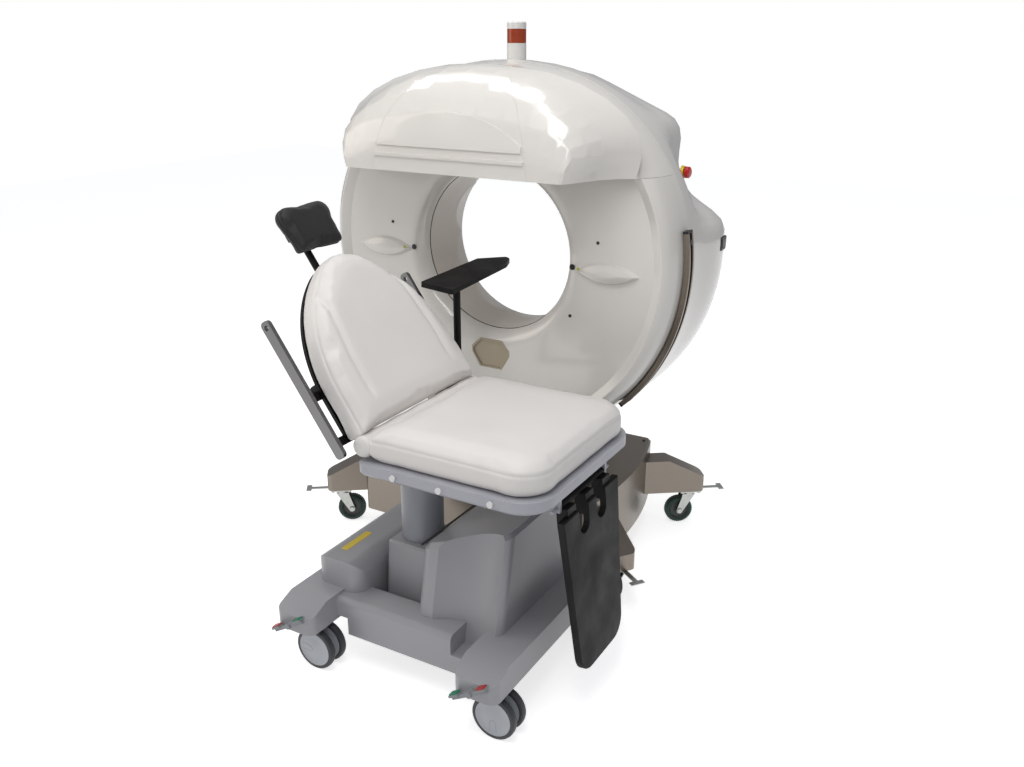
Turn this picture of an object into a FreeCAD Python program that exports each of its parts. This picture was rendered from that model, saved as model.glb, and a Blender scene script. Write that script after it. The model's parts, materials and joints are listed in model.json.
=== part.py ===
import FreeCAD, Part
import math
import os
import Sketcher
from FreeCAD import Placement, Rotation, Vector

# Ring-shaped CT gantry on a wheeled steel base, with the powered patient chair
# that stands in front of it.  Millimetres; X to the gantry's right, Y from the
# chair to the gantry's rear, Z up.  Every piece is drawn with the floor at
# Z = 0 and then stood so that the frame's origin is the isocentre of the bore.

doc = FreeCAD.newDocument("RingCtScanner")
sheet = doc.addObject("Spreadsheet::Sheet", "Sizes")

SIZES = [
    # --- bore and ring covers
    ("iso_height", 1030, "isocentre above the floor"),
    ("bore_radius", 265, "inside of the bore liner"),
    ("liner_wall", 4, "bore liner wall"),
    ("liner_rear", 88, "crests of the liner's rear edge"),
    ("scallop_count", 9, "waves round the liner's rear edge"),
    ("scallop_depth", 52, "depth of each wave"),
    ("shell", 5, "wall of the moulded covers"),
    ("joint_gap", 0.6, "gap at the seams between covers"),
    ("seat_gap", 0.3, "gap where one piece seats on another"),
    ("face_depth", -163, "flat front face of the gantry"),
    ("ridge_depth", -180, "front edge of the ridge round the face"),
    ("lip_round", 52, "rounding from the face into the bore"),
    ("ring_half_width", 632, "ring cover, half width and lower radius"),
    ("ring_crown", 580, "ring cover above the isocentre"),
    ("ring_side", 570, "radius of the ring cover's upper sides"),
    ("flange", 60, "flange inside the front cover's rear rim"),
    ("ridge_inset", 42, "ridge inside the ring's rim"),
    ("face_inset", 30, "face inside the ridge"),
    ("cover_joint", -50, "parting plane of front and rear covers"),
    ("rear_depth", 292, "rear face of the gantry"),
    ("rear_round", 62, "inset of the rear face"),
    ("rear_mouth", 405, "rear mouth of the bore funnel, radius"),
    ("rear_drop", 35, "rear cover's crown below the front cover's"),
    ("foot_round", 630, "rear cover's lower half, radius"),
    ("crown_half", 150, "rear cover's flat crown, half width"),
    ("crown_round", 300, "rounding of the rear cover's crown"),
    ("shoulder_reach", 648, "side shoulders from the middle"),
    ("shoulder_top", 97, "top of the side shoulders above the isocentre"),
    ("shoulder_round", 84, "rounding of the side shoulders"),
    ("waist_reach", 468, "waist above the shoulders, from the middle"),
    ("waist_height", 204, "waist above the isocentre"),
    ("waist_round", 150, "rounding of the waist"),
    ("bulge_reach", 482, "upper corner bulges from the middle"),
    ("bulge_height", 400, "upper corner bulges above the isocentre"),
    ("bulge_round", 80, "rounding of the upper corners"),
    # --- hood
    ("hood_bottom", 1300, "lower rim of the hood"),
    ("hood_front", -402, "front of the hood"),
    ("hood_rear", -60, "rear edge of the hood"),
    ("hood_lip_half", 362, "half width of the hood at its front lip"),
    ("hood_side_half", 398, "half width of the hood's lower rim"),
    ("seam_low", 266, "hood seams at the lip, from the middle"),
    ("seam_high", 84, "hood seams at the crown, from the middle"),
    ("visor_half", 246, "raised arch on the hood, half width"),
    ("visor_low", 1375, "lower edge of the raised arch"),
    ("visor_shoulder", 1392, "raised arch at its ends"),
    ("visor_apex", 1474, "top of the raised arch"),
    ("visor_raise", 5, "raised arch proud of the hood"),
    ("rib_low", 1343, "rib under the arch, lower edge"),
    ("rib_tall", 9, "rib height"),
    # --- face details
    ("bump_reach", 410, "side bumps of the face, centre from the axis"),
    ("bump_half", 112, "side bumps, half length"),
    ("bump_tall", 34, "side bumps, half height"),
    ("bump_proud", 22, "side bumps proud of the face"),
    ("bump_drop", 22, "side bumps below the isocentre"),
    ("window_radius", 9, "round sensor windows"),
    ("window_reach", 294, "sensor windows from the axis"),
    ("window_drop", 15, "sensor windows below the isocentre"),
    ("screw_radius", 5, "cover screw heads"),
    ("dock_half", 72, "docking recess, half width"),
    ("dock_tall", 98, "docking recess height"),
    ("dock_centre", 688, "docking recess above the floor"),
    ("dock_chamfer", 30, "docking recess corners"),
    # --- rotor
    ("rotor_inner", 315, "rotor drum inside"),
    ("rotor_outer", 340, "rotor drum outside"),
    ("rotor_front", -80, "rotor drum front"),
    ("rotor_rear", 128, "rotor drum rear"),
    ("disc_radius", 500, "rotor disc"),
    ("disc_front", 60, "rotor disc front face"),
    ("disc_thick", 38, "rotor disc thickness"),
    ("running_gap", 0.8, "gap between rotor and stator"),
    ("tube_radius", 62, "x-ray tube housing"),
    ("tube_reach", 428, "x-ray tube from the axis"),
    ("tube_long", 128, "x-ray tube length"),
    ("detector_inner", 405, "detector arc inside"),
    ("detector_outer", 485, "detector arc outside"),
    ("detector_wide", 92, "detector arc along the axis"),
    ("detector_span", 76, "detector arc, degrees"),
    ("frame_thick", 26, "stator plate"),
    ("frame_outer", 508, "stator plate outside"),
    ("web_half", 200, "web from the stator to the saddle, half width"),
    ("saddle_half", 250, "saddle under the stator, half width"),
    ("saddle_front", -105, "saddle front"),
    ("saddle_rear", 225, "saddle rear"),
    # --- base
    ("base_top", 300, "deck of the base above the floor"),
    ("base_bottom", 80, "underside of the base"),
    ("base_front", -320, "front of the base"),
    ("base_back", 300, "rear of the base"),
    ("base_front_half", 430, "half width of the base at the front"),
    ("base_back_half", 400, "half width of the base at the rear"),
    ("base_side_radius", 1200, "bow of the base's sides"),
    ("base_corner", 22, "rounded corners of the base"),
    ("deck_round", 8, "rounded edge of the deck"),
    ("plinth_half", 300, "raised plinth on the deck, half width"),
    ("plinth_tall", 6, "raised plinth height"),
    ("slot_wide", 64, "slot in the base's front"),
    ("slot_tall", 9, "slot height"),
    ("slot_deep", 14, "slot depth"),
    ("slot_x", -345, "slot centre"),
    ("slot_z", 262, "slot above the floor"),
    ("socket_radius", 21, "connector in the base's front"),
    ("socket_x", 88, "connector centre"),
    ("socket_z", 226, "connector above the floor"),
    ("socket_long", 22, "connector length outside the base"),
    # --- outriggers and castors of the gantry
    ("caster_x", 548, "castor pivots from the middle, across"),
    ("caster_y", 312, "castor pivots from the middle, along"),
    ("arm_angle", 36, "outriggers from the X axis"),
    ("arm_wide", 78, "outrigger width"),
    ("arm_high", 256, "top of the outrigger at the base"),
    ("arm_low", 132, "underside of the outrigger"),
    ("arm_end_high", 188, "top of the outrigger at its end"),
    ("arm_bend", 92, "level part of the outrigger"),
    ("arm_inboard", 178, "outrigger inboard of the pivot"),
    ("arm_outboard", 48, "outrigger outboard of the pivot"),
    ("plate_side", 74, "castor plate"),
    ("plate_thick", 4, "castor plate thickness"),
    ("wheel_radius", 50, "gantry wheel"),
    ("wheel_wide", 32, "gantry wheel width"),
    ("caster_trail", 34, "wheel axle behind the pivot"),
    ("fork_wall", 4, "fork cheek thickness"),
    ("fork_gap", 3, "gap beside the wheel"),
    ("pedal_long", 88, "lock pedal length"),
    ("pedal_foot", 46, "lock pedal foot width"),
    ("pedal_hub", 2.2, "radius of the lock pedal's hinge roll"),
    ("pedal_thick", 3, "lock pedal sheet"),
    ("pedal_wide", 16, "lock pedal stem width"),
    ("axle_radius", 5, "castor axles"),
    ("swivel_radius", 24, "castor swivel ring"),
    ("swivel_tall", 12, "castor swivel ring height"),
    # --- rails on the ring
    ("rail_wide", 37, "curved rail width"),
    ("rail_deep", 16, "curved rail depth"),
    ("rail_groove", 17, "curved rail groove"),
    ("rail_y", -85, "middle of the rail"),
    ("rail_top", 10.5, "upper end, degrees above the axis"),
    ("rail_bottom", 46, "lower end, degrees below the axis"),
    ("cap_angle", 0.7, "end cap, degrees"),
    ("rail_bolt_radius", 8, "rail bolt heads"),
    # --- stack light and emergency stop
    ("light_y", 8, "stack light along the axis"),
    ("light_radius", 30, "stack light radius"),
    ("light_sink", 4, "stack light seated in the crown"),
    ("light_base_tall", 50, "stack light housing"),
    ("light_lens_tall", 42, "stack light lens"),
    ("light_cap_tall", 20, "stack light cap"),
    ("stop_y", 198, "emergency stop along the axis"),
    ("stop_z", 1272, "emergency stop above the floor"),
    ("stop_base_radius", 21, "yellow collar"),
    ("stop_base_tall", 9, "yellow collar length outside the cover"),
    ("stop_head_radius", 18, "mushroom head"),
    ("stop_head_tall", 15, "mushroom head length"),
    ("stop_stem_radius", 9, "stem of the button"),
    ("stop_travel", 4, "travel of the button"),
    # --- chair: base
    ("chair_x", 217, "middle of the chair's base, across"),
    ("chair_y", -760, "middle of the chair, along"),
    ("chair_track", 584, "castors of the chair, across"),
    ("chair_base", 520, "castors of the chair, along"),
    ("leg_wide", 128, "moulded legs of the base"),
    ("leg_low", 136, "underside of the legs"),
    ("leg_high", 214, "top of the legs"),
    ("leg_over", 75, "legs beyond the castor pivots"),
    ("beam_wide", 104, "cross beam along Y"),
    ("beam_low", 148, "underside of the cross beam"),
    ("beam_high", 206, "top of the cross beam"),
    ("beam_set", 35, "front of the beam behind the castor line"),
    ("left_box_high", 300, "top of the left housing"),
    ("left_box_wide", 158, "left housing width"),
    ("left_box_front", -950, "left housing front"),
    ("left_box_rear", -560, "left housing rear"),
    ("left_box_round", 46, "left housing top edges"),
    ("right_box_left", 228, "right housing, inner side"),
    ("right_box_right", 492, "right housing, outer side"),
    ("right_box_front", -958, "right housing front at the bottom"),
    ("right_box_rear", -500, "right housing rear at the bottom"),
    ("right_box_bottom", 130, "right housing underside"),
    ("right_box_low_top", 396, "right housing top at its inner side"),
    ("right_box_high_top", 486, "right housing top at its outer side"),
    ("right_box_lean", 76, "right housing front leans back"),
    ("right_box_round", 30, "right housing edges"),
    ("castor_room", 100, "room left for each castor to swivel"),
    ("pan_low", 96, "floor pan underside"),
    ("pan_high", 149, "floor pan top"),
    # --- chair: column
    ("column_x", 134, "column centre across"),
    ("column_radius", 60, "column inner tube"),
    ("column_gap", 0.4, "gap round the inner tube"),
    ("column_low", 180, "bottom of the inner tube"),
    ("column_box_wide", 160, "column cover, across"),
    ("column_box_long", 186, "column cover, along"),
    ("column_box_high", 340, "column cover top"),
    ("column_box_taper", 12, "column cover taper"),
    ("column_head_wide", 210, "column head under the tray, across"),
    ("column_head_tall", 62, "column head height"),
    ("lever_long", 74, "lock lever"),
    ("lever_radius", 6, "lock lever rod"),
    # --- chair: seat
    ("seat_wide", 560, "seat across the chair (along Y)"),
    ("seat_rear", 135, "rear edge of the seat tray"),
    ("cushion_rear", 155, "rear edge of the seat cushion"),
    ("seat_front", 656, "front edge of the seat tray"),
    ("tray_low", 640, "underside of the seat tray"),
    ("tray_tall", 34, "seat tray height"),
    ("tray_corner", 86, "front corners of the tray"),
    ("cushion_tall", 74, "seat cushion at its edge"),
    ("cushion_crown", 12, "seat cushion crown"),
    ("cushion_draw", 10, "drawn-in sides of the cushions"),
    ("cushion_corner", 92, "front corners of the seat cushion"),
    ("bolt_cap_radius", 8, "white bolt caps on the tray"),
    ("soft_gap", 0.4, "gap round the soft pieces"),
    # --- chair: back
    ("hinge_x", 118, "back hinge across"),
    ("hinge_z", 668, "back hinge above the floor"),
    ("recline", 35, "back from the vertical, degrees"),
    ("back_half", 275, "back cushion, half width"),
    ("back_long", 530, "back cushion above the hinge"),
    ("back_below", 40, "back cushion, lowest edge above the hinge line"),
    ("back_straight", 170, "straight sides of the back, end above the hinge"),
    ("back_side_round", 390, "radius of the back's sides"),
    ("back_thick", 78, "back cushion thickness at its edge"),
    ("back_crown", 10, "back cushion crown"),
    ("frame_plate", 10, "back frame plate"),
    ("frame_margin", 26, "back frame inside the cushion's outline"),
    ("side_rail_wide", 12, "accessory rail thickness"),
    ("side_rail_tall", 30, "accessory rail height"),
    ("side_rail_long", 395, "accessory rail length"),
    ("side_rail_out", 14, "accessory rail outside the cushion"),
    ("knob_radius", 17, "tilt knob behind the back"),
    # --- chair: headrest, arm board, leg board
    ("post_radius", 10, "headrest post"),
    ("post_low", 340, "lower end of the post along the back"),
    ("post_high", 618, "upper end of the post along the back"),
    ("pad_wide", 200, "headrest pad width"),
    ("pad_tall", 135, "headrest pad height"),
    ("pad_thick", 42, "headrest pad thickness"),
    ("board_wide", 130, "arm board width at its near end"),
    ("board_taper", 18, "arm board narrower at its far end"),
    ("board_thick", 15, "arm board thickness"),
    ("board_top", 1010, "arm board above the floor"),
    ("board_near_x", 53, "middle of the arm board's near end"),
    ("board_far_x", 24, "middle of the arm board's far end"),
    ("board_near", -530, "near end of the arm board"),
    ("board_far", -119, "tip of the arm board, before the bore's wall"),
    ("board_tip", 68, "length of the arm board's tapered tip"),
    ("board_slant", 30, "near end slanted beside the back"),
    ("board_post_y", -420, "arm board post along Y"),
    ("leg_board_wide", 318, "leg board width"),
    ("leg_board_long", 470, "leg board length"),
    ("leg_board_thick", 18, "leg board thickness"),
    ("leg_board_foot", 122, "leg board, half width at its foot"),
    ("leg_notch_wide", 54, "notches between the leg board's prongs"),
    ("leg_notch_deep", 96, "notches below the leg board's hinge"),
    ("leg_board_lean", 6, "leg board out from the vertical, degrees"),
    ("leg_hinge_x", 628, "leg board hinge across"),
    ("leg_hinge_z", 604, "leg board hinge above the floor"),
    ("leg_hinge_radius", 9, "leg board hinge tube"),
    # --- chair: castors and pedals
    ("twin_bore", 6, "chair axle"),
    ("hinge_pin", 6, "pin of the back hinge"),
    ("hinge_half", 190, "back hinge knuckles, outer end from the middle"),
    ("knuckle_long", 40, "back hinge knuckle"),
    ("knuckle_radius", 13, "back hinge knuckle radius"),
    ("knuckle_gap", 0.4, "clearance round the hinge pins"),
    ("back_gap", 3, "frame plate behind the cushion"),
    ("post_crank_x", 40, "arm board post across"),
    ("post_bar", 11, "arm board post radius"),
    ("twin_radius", 62.5, "chair wheel"),
    ("twin_wide", 20, "each wheel of the pair"),
    ("twin_space", 26, "gap between the two wheels"),
    ("twin_trail", 30, "chair axle behind the pivot"),
    ("stem_radius", 12, "castor stem"),
    ("rocker_tilt", 30, "brake rockers from the level, degrees"),
    ("rocker_long", 116, "brake rocker, end to end"),
    ("pedal_bar_radius", 8, "hexagon bar of the brake"),
]

for row, (name, size, note) in enumerate(SIZES, start=1):
    sheet.set(f"A{row}", name)
    sheet.set(f"B{row}", str(size))
    sheet.setAlias(f"B{row}", name)
    sheet.set(f"C{row}", note)
doc.recompute()


class Length:
    """A size, with its value now and the spreadsheet formula that gives it."""

    def __init__(self, value, text):
        self.value, self.text = float(value), text

    def _join(self, other, sign, value):
        return Length(value, f"({self.text} {sign} {as_length(other).text})")

    def __add__(self, other):
        return self._join(other, "+", self.value + as_length(other).value)

    def __sub__(self, other):
        return self._join(other, "-", self.value - as_length(other).value)

    def __mul__(self, other):
        return self._join(other, "*", self.value * as_length(other).value)

    def __truediv__(self, other):
        return self._join(other, "/", self.value / as_length(other).value)

    def __radd__(self, other):
        return as_length(other) + self

    def __rsub__(self, other):
        return as_length(other) - self

    def __rmul__(self, other):
        return as_length(other) * self

    def __neg__(self):
        return Length(-self.value, f"(0 - {self.text})")


def as_length(size):
    return size if isinstance(size, Length) else Length(size, f"{size:.6f}")


class Sheet:
    """Reads S.bore_radius as a Length bound to its cell."""

    def __getattr__(self, name):
        return Length(sheet.get(name), f"Sizes.{name}")


S = Sheet()
PARTS = []


def val(name):
    return float(sheet.get(name))


def bind(obj, prop, size):
    obj.setExpression(prop, as_length(size).text)


def stand(obj, label, at=(0, 0, 0), turned=0, axis=Vector(0, 0, 1)):
    """Name a sub-part and stand it at its place, drawn from the floor, with the
    isocentre at the frame's origin; `turned` is degrees about `axis`."""
    obj.Label = label
    place = [as_length(c) for c in at]
    place[2] = place[2] - S.iso_height
    angle = as_length(turned)
    obj.Placement = Placement(Vector(*[c.value for c in place]),
                              Rotation(axis, angle.value))
    for letter, c in zip("xyz", place):
        bind(obj, f"Placement.Base.{letter}", c)
    if angle.value:
        bind(obj, "Placement.Rotation.Angle", angle)
    PARTS.append(obj)
    return obj


def feature(label, shape, *place):
    """A sub-part whose shape comes from Part's own functions."""
    obj = doc.addObject("Part::Feature", "Piece")
    obj.Shape = Part.makeCompound(shape.Solids)
    return stand(obj, label, *place)


def group(label, shapes, *place):
    return feature(label, Part.makeCompound(shapes), *place)


# ---------------------------------------------------------------- PartDesign

def new_body(label, at=(0, 0, 0), turned=0):
    body = doc.addObject("PartDesign::Body", "Body")
    return stand(body, label, at, turned)


def sketch(body, role, offset=0):
    """An empty sketch on one of the body's own origin planes."""
    sk = body.newObject("Sketcher::SketchObject", "Sketch")
    plane = next(f for f in body.Origin.OriginFeatures if f.Role == role)
    sk.AttachmentSupport = [(plane, "")]
    sk.MapMode = "FlatFace"
    off = as_length(offset)
    sk.AttachmentOffset = Placement(Vector(0, 0, off.value), Rotation())
    bind(sk, "AttachmentOffset.Base.z", off)
    return sk


def pin_point(sk, geo, pos, x, y):
    for kind, size in (("DistanceX", as_length(x)), ("DistanceY", as_length(y))):
        i = sk.addConstraint(Sketcher.Constraint(kind, -1, 1, geo, pos, size.value))
        bind(sk, f"Constraints[{i}]", size)


def outline(sk, points):
    """Closed outline through points (x, y) or (x, y, radius): a radius bows the
    side that leaves that point, to its right when positive."""
    count = len(points)
    xy = [(as_length(p[0]), as_length(p[1])) for p in points]
    ends = []
    for i, point in enumerate(points):
        a = Vector(xy[i][0].value, xy[i][1].value, 0)
        j = (i + 1) % count
        b = Vector(xy[j][0].value, xy[j][1].value, 0)
        if len(point) == 2:
            geo = sk.addGeometry(Part.LineSegment(a, b))
            ends.append((geo, 1, 2))
            continue
        radius = as_length(point[2])
        bow = 1 if radius.value > 0 else -1
        mid, run = (a + b) * 0.5, b - a
        normal = Vector(run.y, -run.x, 0).normalize() * bow
        r = abs(radius.value)
        centre = mid - normal * math.sqrt(max(r * r - run.Length ** 2 / 4, 0))
        top = centre + normal * r
        arc = Part.Arc(a, top, b)
        geo = sk.addGeometry(arc)
        start = sk.Geometry[geo].StartPoint
        forward = start.distanceToPoint(a) < start.distanceToPoint(b)
        ends.append((geo, 1, 2) if forward else (geo, 2, 1))
        i_c = sk.addConstraint(Sketcher.Constraint("Radius", geo, r))
        bind(sk, f"Constraints[{i_c}]", radius if bow > 0 else -radius)
    for i in range(count):
        j = (i + 1) % count
        sk.addConstraint(Sketcher.Constraint(
            "Coincident", ends[i][0], ends[i][2], ends[j][0], ends[j][1]))
        pin_point(sk, ends[i][0], ends[i][1], *xy[i])
    return sk


def circle(sk, x, y, radius):
    x, y, radius = as_length(x), as_length(y), as_length(radius)
    geo = sk.addGeometry(Part.Circle(Vector(x.value, y.value, 0),
                                     Vector(0, 0, 1), radius.value))
    i = sk.addConstraint(Sketcher.Constraint("Radius", geo, radius.value))
    bind(sk, f"Constraints[{i}]", radius)
    pin_point(sk, geo, 3, x, y)
    return sk


def rectangle(sk, x0, y0, x1, y1):
    return outline(sk, [(x0, y0), (x1, y0), (x1, y1), (x0, y1)])


def pad(body, sk, length, reverse=False, both=False, kind="Pad"):
    f = body.newObject(f"PartDesign::{kind}", kind)
    f.Profile = sk
    if both:
        f.Midplane = True
    f.Reversed = reverse
    f.Length = abs(as_length(length).value)
    bind(f, "Length", length)
    doc.recompute()
    return f


def cut(body, sk, length, reverse=False, both=False):
    before = body.Shape.Volume
    f = pad(body, sk, length, reverse, both, "Pocket")
    if not body.Shape.Volume < before:
        raise ValueError(f"{body.Label}: a pocket removed nothing")
    return f


def turn(body, sk, axis="V_Axis", angle=360, kind="Revolution", both=False):
    f = body.newObject(f"PartDesign::{kind}", kind)
    f.Profile = sk
    f.ReferenceAxis = (sk, [axis])
    f.Angle = as_length(angle).value
    f.Midplane = both
    bind(f, "Angle", angle)
    doc.recompute()
    return f


def soften(body, radius, chosen, kind="Fillet"):
    """Fillet or chamfer the edges of the body's tip that `chosen` accepts."""
    tip = body.Tip
    names = [f"Edge{i}" for i, e in enumerate(tip.Shape.Edges, start=1) if chosen(e)]
    f = body.newObject(f"PartDesign::{kind}", kind)
    f.Base = (tip, names)
    prop = "Radius" if kind == "Fillet" else "Size"
    setattr(f, prop, as_length(radius).value)
    bind(f, prop, radius)
    doc.recompute()
    return f


def along(edge, axis):
    """True where an edge is straight and runs along `axis`."""
    if edge.Curve.TypeId != "Part::GeomLine":
        return False
    run = edge.Vertexes[-1].Point - edge.Vertexes[0].Point
    return run.Length > 0 and abs(run.dot(axis)) / run.Length > 0.999


X, Y, Z = Vector(1, 0, 0), Vector(0, 1, 0), Vector(0, 0, 1)

# ------------------------------------------------------- gantry: ring covers

ISO = val("iso_height")
shell, gap, seat = val("shell"), val("joint_gap"), val("seat_gap")
face_y, ridge_y = val("face_depth"), val("ridge_depth")
joint_y, rear_y = val("cover_joint"), val("rear_depth")
bore_r, lip_r = val("bore_radius"), val("lip_round")
hood_low, hood_back = val("hood_bottom"), val("hood_rear")
half_w, side_r, crown = val("ring_half_width"), val("ring_side"), val("ring_crown")

# Upper half of the ring: a three-centred arch tangent to the lower half circle
side_x = half_w - side_r
crown_drop = (side_x ** 2 - (crown - side_r) ** 2) / (2 * (crown - side_r))
crown_r = crown + crown_drop
arch_join = math.atan2(crown_drop, side_x)


def upright(solid):
    if solid.Volume < 0:
        solid.reverse()
    return solid


def loft(wires, ruled=False):
    return upright(Part.makeLoft(wires, True, ruled))


PLANES = {"XZ": (X, Z, Y), "XY": (X, Y, Z), "YZ": (Y, Z, X)}


def line_to(u0, v0, u1, v1):
    return ("line", (u0, v0), (u1, v1))


def arc_at(cu, cv, radius, a0, a1):
    """Arc of a path: counter-clockwise bows outward, clockwise inward."""
    return ("arc", (cu, cv), radius, a0, a1)


def spot(plane, u, v, w):
    a, b, c = PLANES[plane]
    return a * u + b * v + c * w


def band(path, profile, plane="XZ"):
    """Wall that follows a closed path: the profile of (inset, depth) points is
    extruded along the straight stretches and turned round the arcs."""
    normal = PLANES[plane][2]
    pieces = []
    for seg in path:
        if seg[0] == "line":
            (u0, v0), (u1, v1) = seg[1], seg[2]
            run = math.hypot(u1 - u0, v1 - v0)
            nu, nv = -(v1 - v0) / run, (u1 - u0) / run
            pts = [spot(plane, u0 + nu * d, v0 + nv * d, w) for d, w in profile]
            face = Part.Face(Part.makePolygon(pts + pts[:1]))
            pieces.append(face.extrude(spot(plane, u1 - u0, v1 - v0, 0)))
            continue
        (cu, cv), radius, a0, a1 = seg[1:]
        bow = 1 if a1 > a0 else -1
        pts = [spot(plane, cu + (radius - bow * d) * math.cos(a0),
                    cv + (radius - bow * d) * math.sin(a0), w) for d, w in profile]
        face = Part.Face(Part.makePolygon(pts + pts[:1]))
        hand = PLANES[plane][0].cross(PLANES[plane][1]).dot(normal)
        pieces.append(face.revolve(spot(plane, cu, cv, 0), normal * hand,
                                   math.degrees(a1 - a0)))
    pieces = [upright(p) for p in pieces]
    return pieces[0].multiFuse(pieces[1:]) if len(pieces) > 1 else pieces[0]


def core(path, inset, w0, w1, plane="XZ"):
    """Prism inside a path, from depth w0 to w1."""
    edges = []
    for seg in path:
        if seg[0] == "line":
            (u0, v0), (u1, v1) = seg[1], seg[2]
            run = math.hypot(u1 - u0, v1 - v0)
            nu, nv = -(v1 - v0) / run * inset, (u1 - u0) / run * inset
            edges.append(Part.makeLine(spot(plane, u0 + nu, v0 + nv, w0),
                                       spot(plane, u1 + nu, v1 + nv, w0)))
            continue
        (cu, cv), radius, a0, a1 = seg[1:]
        r = radius - inset * (1 if a1 > a0 else -1)
        if r < 1e-6:
            continue
        edges.append(Part.Arc(*[spot(plane, cu + r * math.cos(a), cv + r * math.sin(a), w0)
                                for a in (a0, (a0 + a1) / 2, a1)]).toShape())
    face = Part.Face(Part.Wire(Part.__sortEdges__(edges)))
    return upright(face.extrude(PLANES[plane][2] * (w1 - w0)))


def solid_band(path, side, plane="XZ"):
    """Solid inside a path whose side wall has the given (inset, depth) points."""
    inset = max(d for d, _ in side)
    depths = side[0][1], side[-1][1]
    wall = list(side) + [(inset + 1, depths[1]), (inset + 1, depths[0])]
    if depths[1] < depths[0]:
        depths = depths[::-1]
    return band(path, wall, plane).fuse(core(path, inset + 1, *depths, plane)).removeSplitter()


def rounded_path(corners):
    """Path through (u, v, radius) corners, each rounded by its radius."""
    count, path, ends = len(corners), [], []
    for i, (u, v, r) in enumerate(corners):
        pu, pv, _ = corners[i - 1]
        nu, nv, _ = corners[(i + 1) % count]
        a = Vector(u - pu, v - pv, 0).normalize()
        b = Vector(nu - u, nv - v, 0).normalize()
        bend = math.atan2(a.x * b.y - a.y * b.x, a.dot(b))
        set_back = r * abs(math.tan(bend / 2))
        bow = 1 if bend > 0 else -1
        start = Vector(u, v, 0) - a * set_back
        centre = start + Vector(-a.y, a.x, 0) * (r * bow)
        a0 = math.atan2(start.y - centre.y, start.x - centre.x)
        ends.append((start, Vector(u, v, 0) + b * set_back,
                     arc_at(centre.x, centre.y, r, a0, a0 + bend)))
    for i, (start, end, turn_arc) in enumerate(ends):
        after = ends[(i + 1) % count][0]
        path.append(turn_arc)
        if (after - end).Length > 1e-6:
            path.append(line_to(end.x, end.y, after.x, after.y))
    return path


def rounded_box(u0, u1, v0, v1, radius):
    return rounded_path([(u1, v0, radius), (u1, v1, radius), (u0, v1, radius), (u0, v0, radius)])


QUARTER = math.pi / 2
RING_PATH = [
    arc_at(0, ISO, half_w, -QUARTER, 0),
    arc_at(side_x, ISO, side_r, 0, arch_join),
    arc_at(0, ISO - crown_drop, crown_r, arch_join, math.pi - arch_join),
    arc_at(-side_x, ISO, side_r, math.pi - arch_join, math.pi),
    arc_at(0, ISO, half_w, math.pi, 3 * QUARTER)]


def ring_x(z, inset=0.0):
    """Half width of the ring's upper half at height z above the isocentre."""
    if z < side_r * math.sin(arch_join):
        return side_x + math.sqrt((side_r - inset) ** 2 - z * z)
    return math.sqrt(max((crown_r - inset) ** 2 - (z + crown_drop) ** 2, 0))


def bore_cylinder(radius, y0, y1):
    return Part.makeCylinder(radius, y1 - y0, Vector(0, y0, ISO), Y)


def lip_ring():
    """Rounded lip that carries the face into the bore."""
    cx, cy = bore_r + lip_r, face_y + lip_r

    def at(radius, a):
        return Vector(cx - radius * math.cos(a), cy - radius * math.sin(a), ISO)
    facets = 5
    points = [at(lip_r, QUARTER * (1 - k / facets)) for k in range(facets + 1)]
    points += [at(lip_r - shell, 0), at(lip_r - shell, QUARTER)]
    face = Part.Face(Part.makePolygon(points + points[:1]))
    return upright(face.revolve(Vector(0, 0, ISO), Y, 360))


def lens_wire(cx, cz, half, tall, y):
    """Outline of two equal arcs that meet at left and right."""
    ends = [Vector(cx - half, y, cz), Vector(cx + half, y, cz)]
    return Part.Wire([
        Part.Arc(ends[0], Vector(cx, y, cz + tall), ends[1]).toShape(),
        Part.Arc(ends[1], Vector(cx, y, cz - tall), ends[0]).toShape()])


def face_bump(side):
    """Long lens-shaped swelling beside the bore."""
    cx, cz = side * val("bump_reach"), ISO - val("bump_drop")
    rings = [(1.0, -0.1), (0.8, 0.6), (0.35, 1.0)]
    return loft([lens_wire(cx, cz, val("bump_half") * share, val("bump_tall") * share,
                           face_y - val("bump_proud") * proud)
                 for share, proud in rings], ruled=True)


def prism_y(corners, y0, y1):
    """Prism along Y over (x, z) corners."""
    points = [Vector(x, y0, z) for x, z in corners + corners[:1]]
    return upright(Part.Face(Part.makePolygon(points)).extrude(Vector(0, y1 - y0, 0)))


def dock_corners(grow=0.0):
    half, tall, cham = (val("dock_half") + grow, val("dock_tall") / 2 + grow,
                        val("dock_chamfer"))
    zc = val("dock_centre")
    return [(half, zc), (half - cham, zc - tall), (-half + cham, zc - tall),
            (-half, zc), (-half, zc + tall - cham), (-half + cham, zc + tall),
            (half - cham, zc + tall), (half, zc + tall - cham)]


# how far behind the ridge, and the share of the ridge's inset left there
FRONT_STATIONS = [(0, 1.0), (0.06, 0.72), (0.2, 0.46), (0.5, 0.2), (1, 0.0)]
ridge_in = val("ridge_inset")
face_edge = ridge_in + val("face_inset")
light_seat = ISO + crown - val("light_sink")


def front_inset(y):
    """Inset of the front cover's side at depth y."""
    f = (y - ridge_y) / (joint_y - ridge_y)
    for (f0, g0), (f1, g1) in zip(FRONT_STATIONS, FRONT_STATIONS[1:]):
        if f <= f1:
            return ridge_in * (g0 + (g1 - g0) * (f - f0) / (f1 - f0))
    return 0.0


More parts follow.
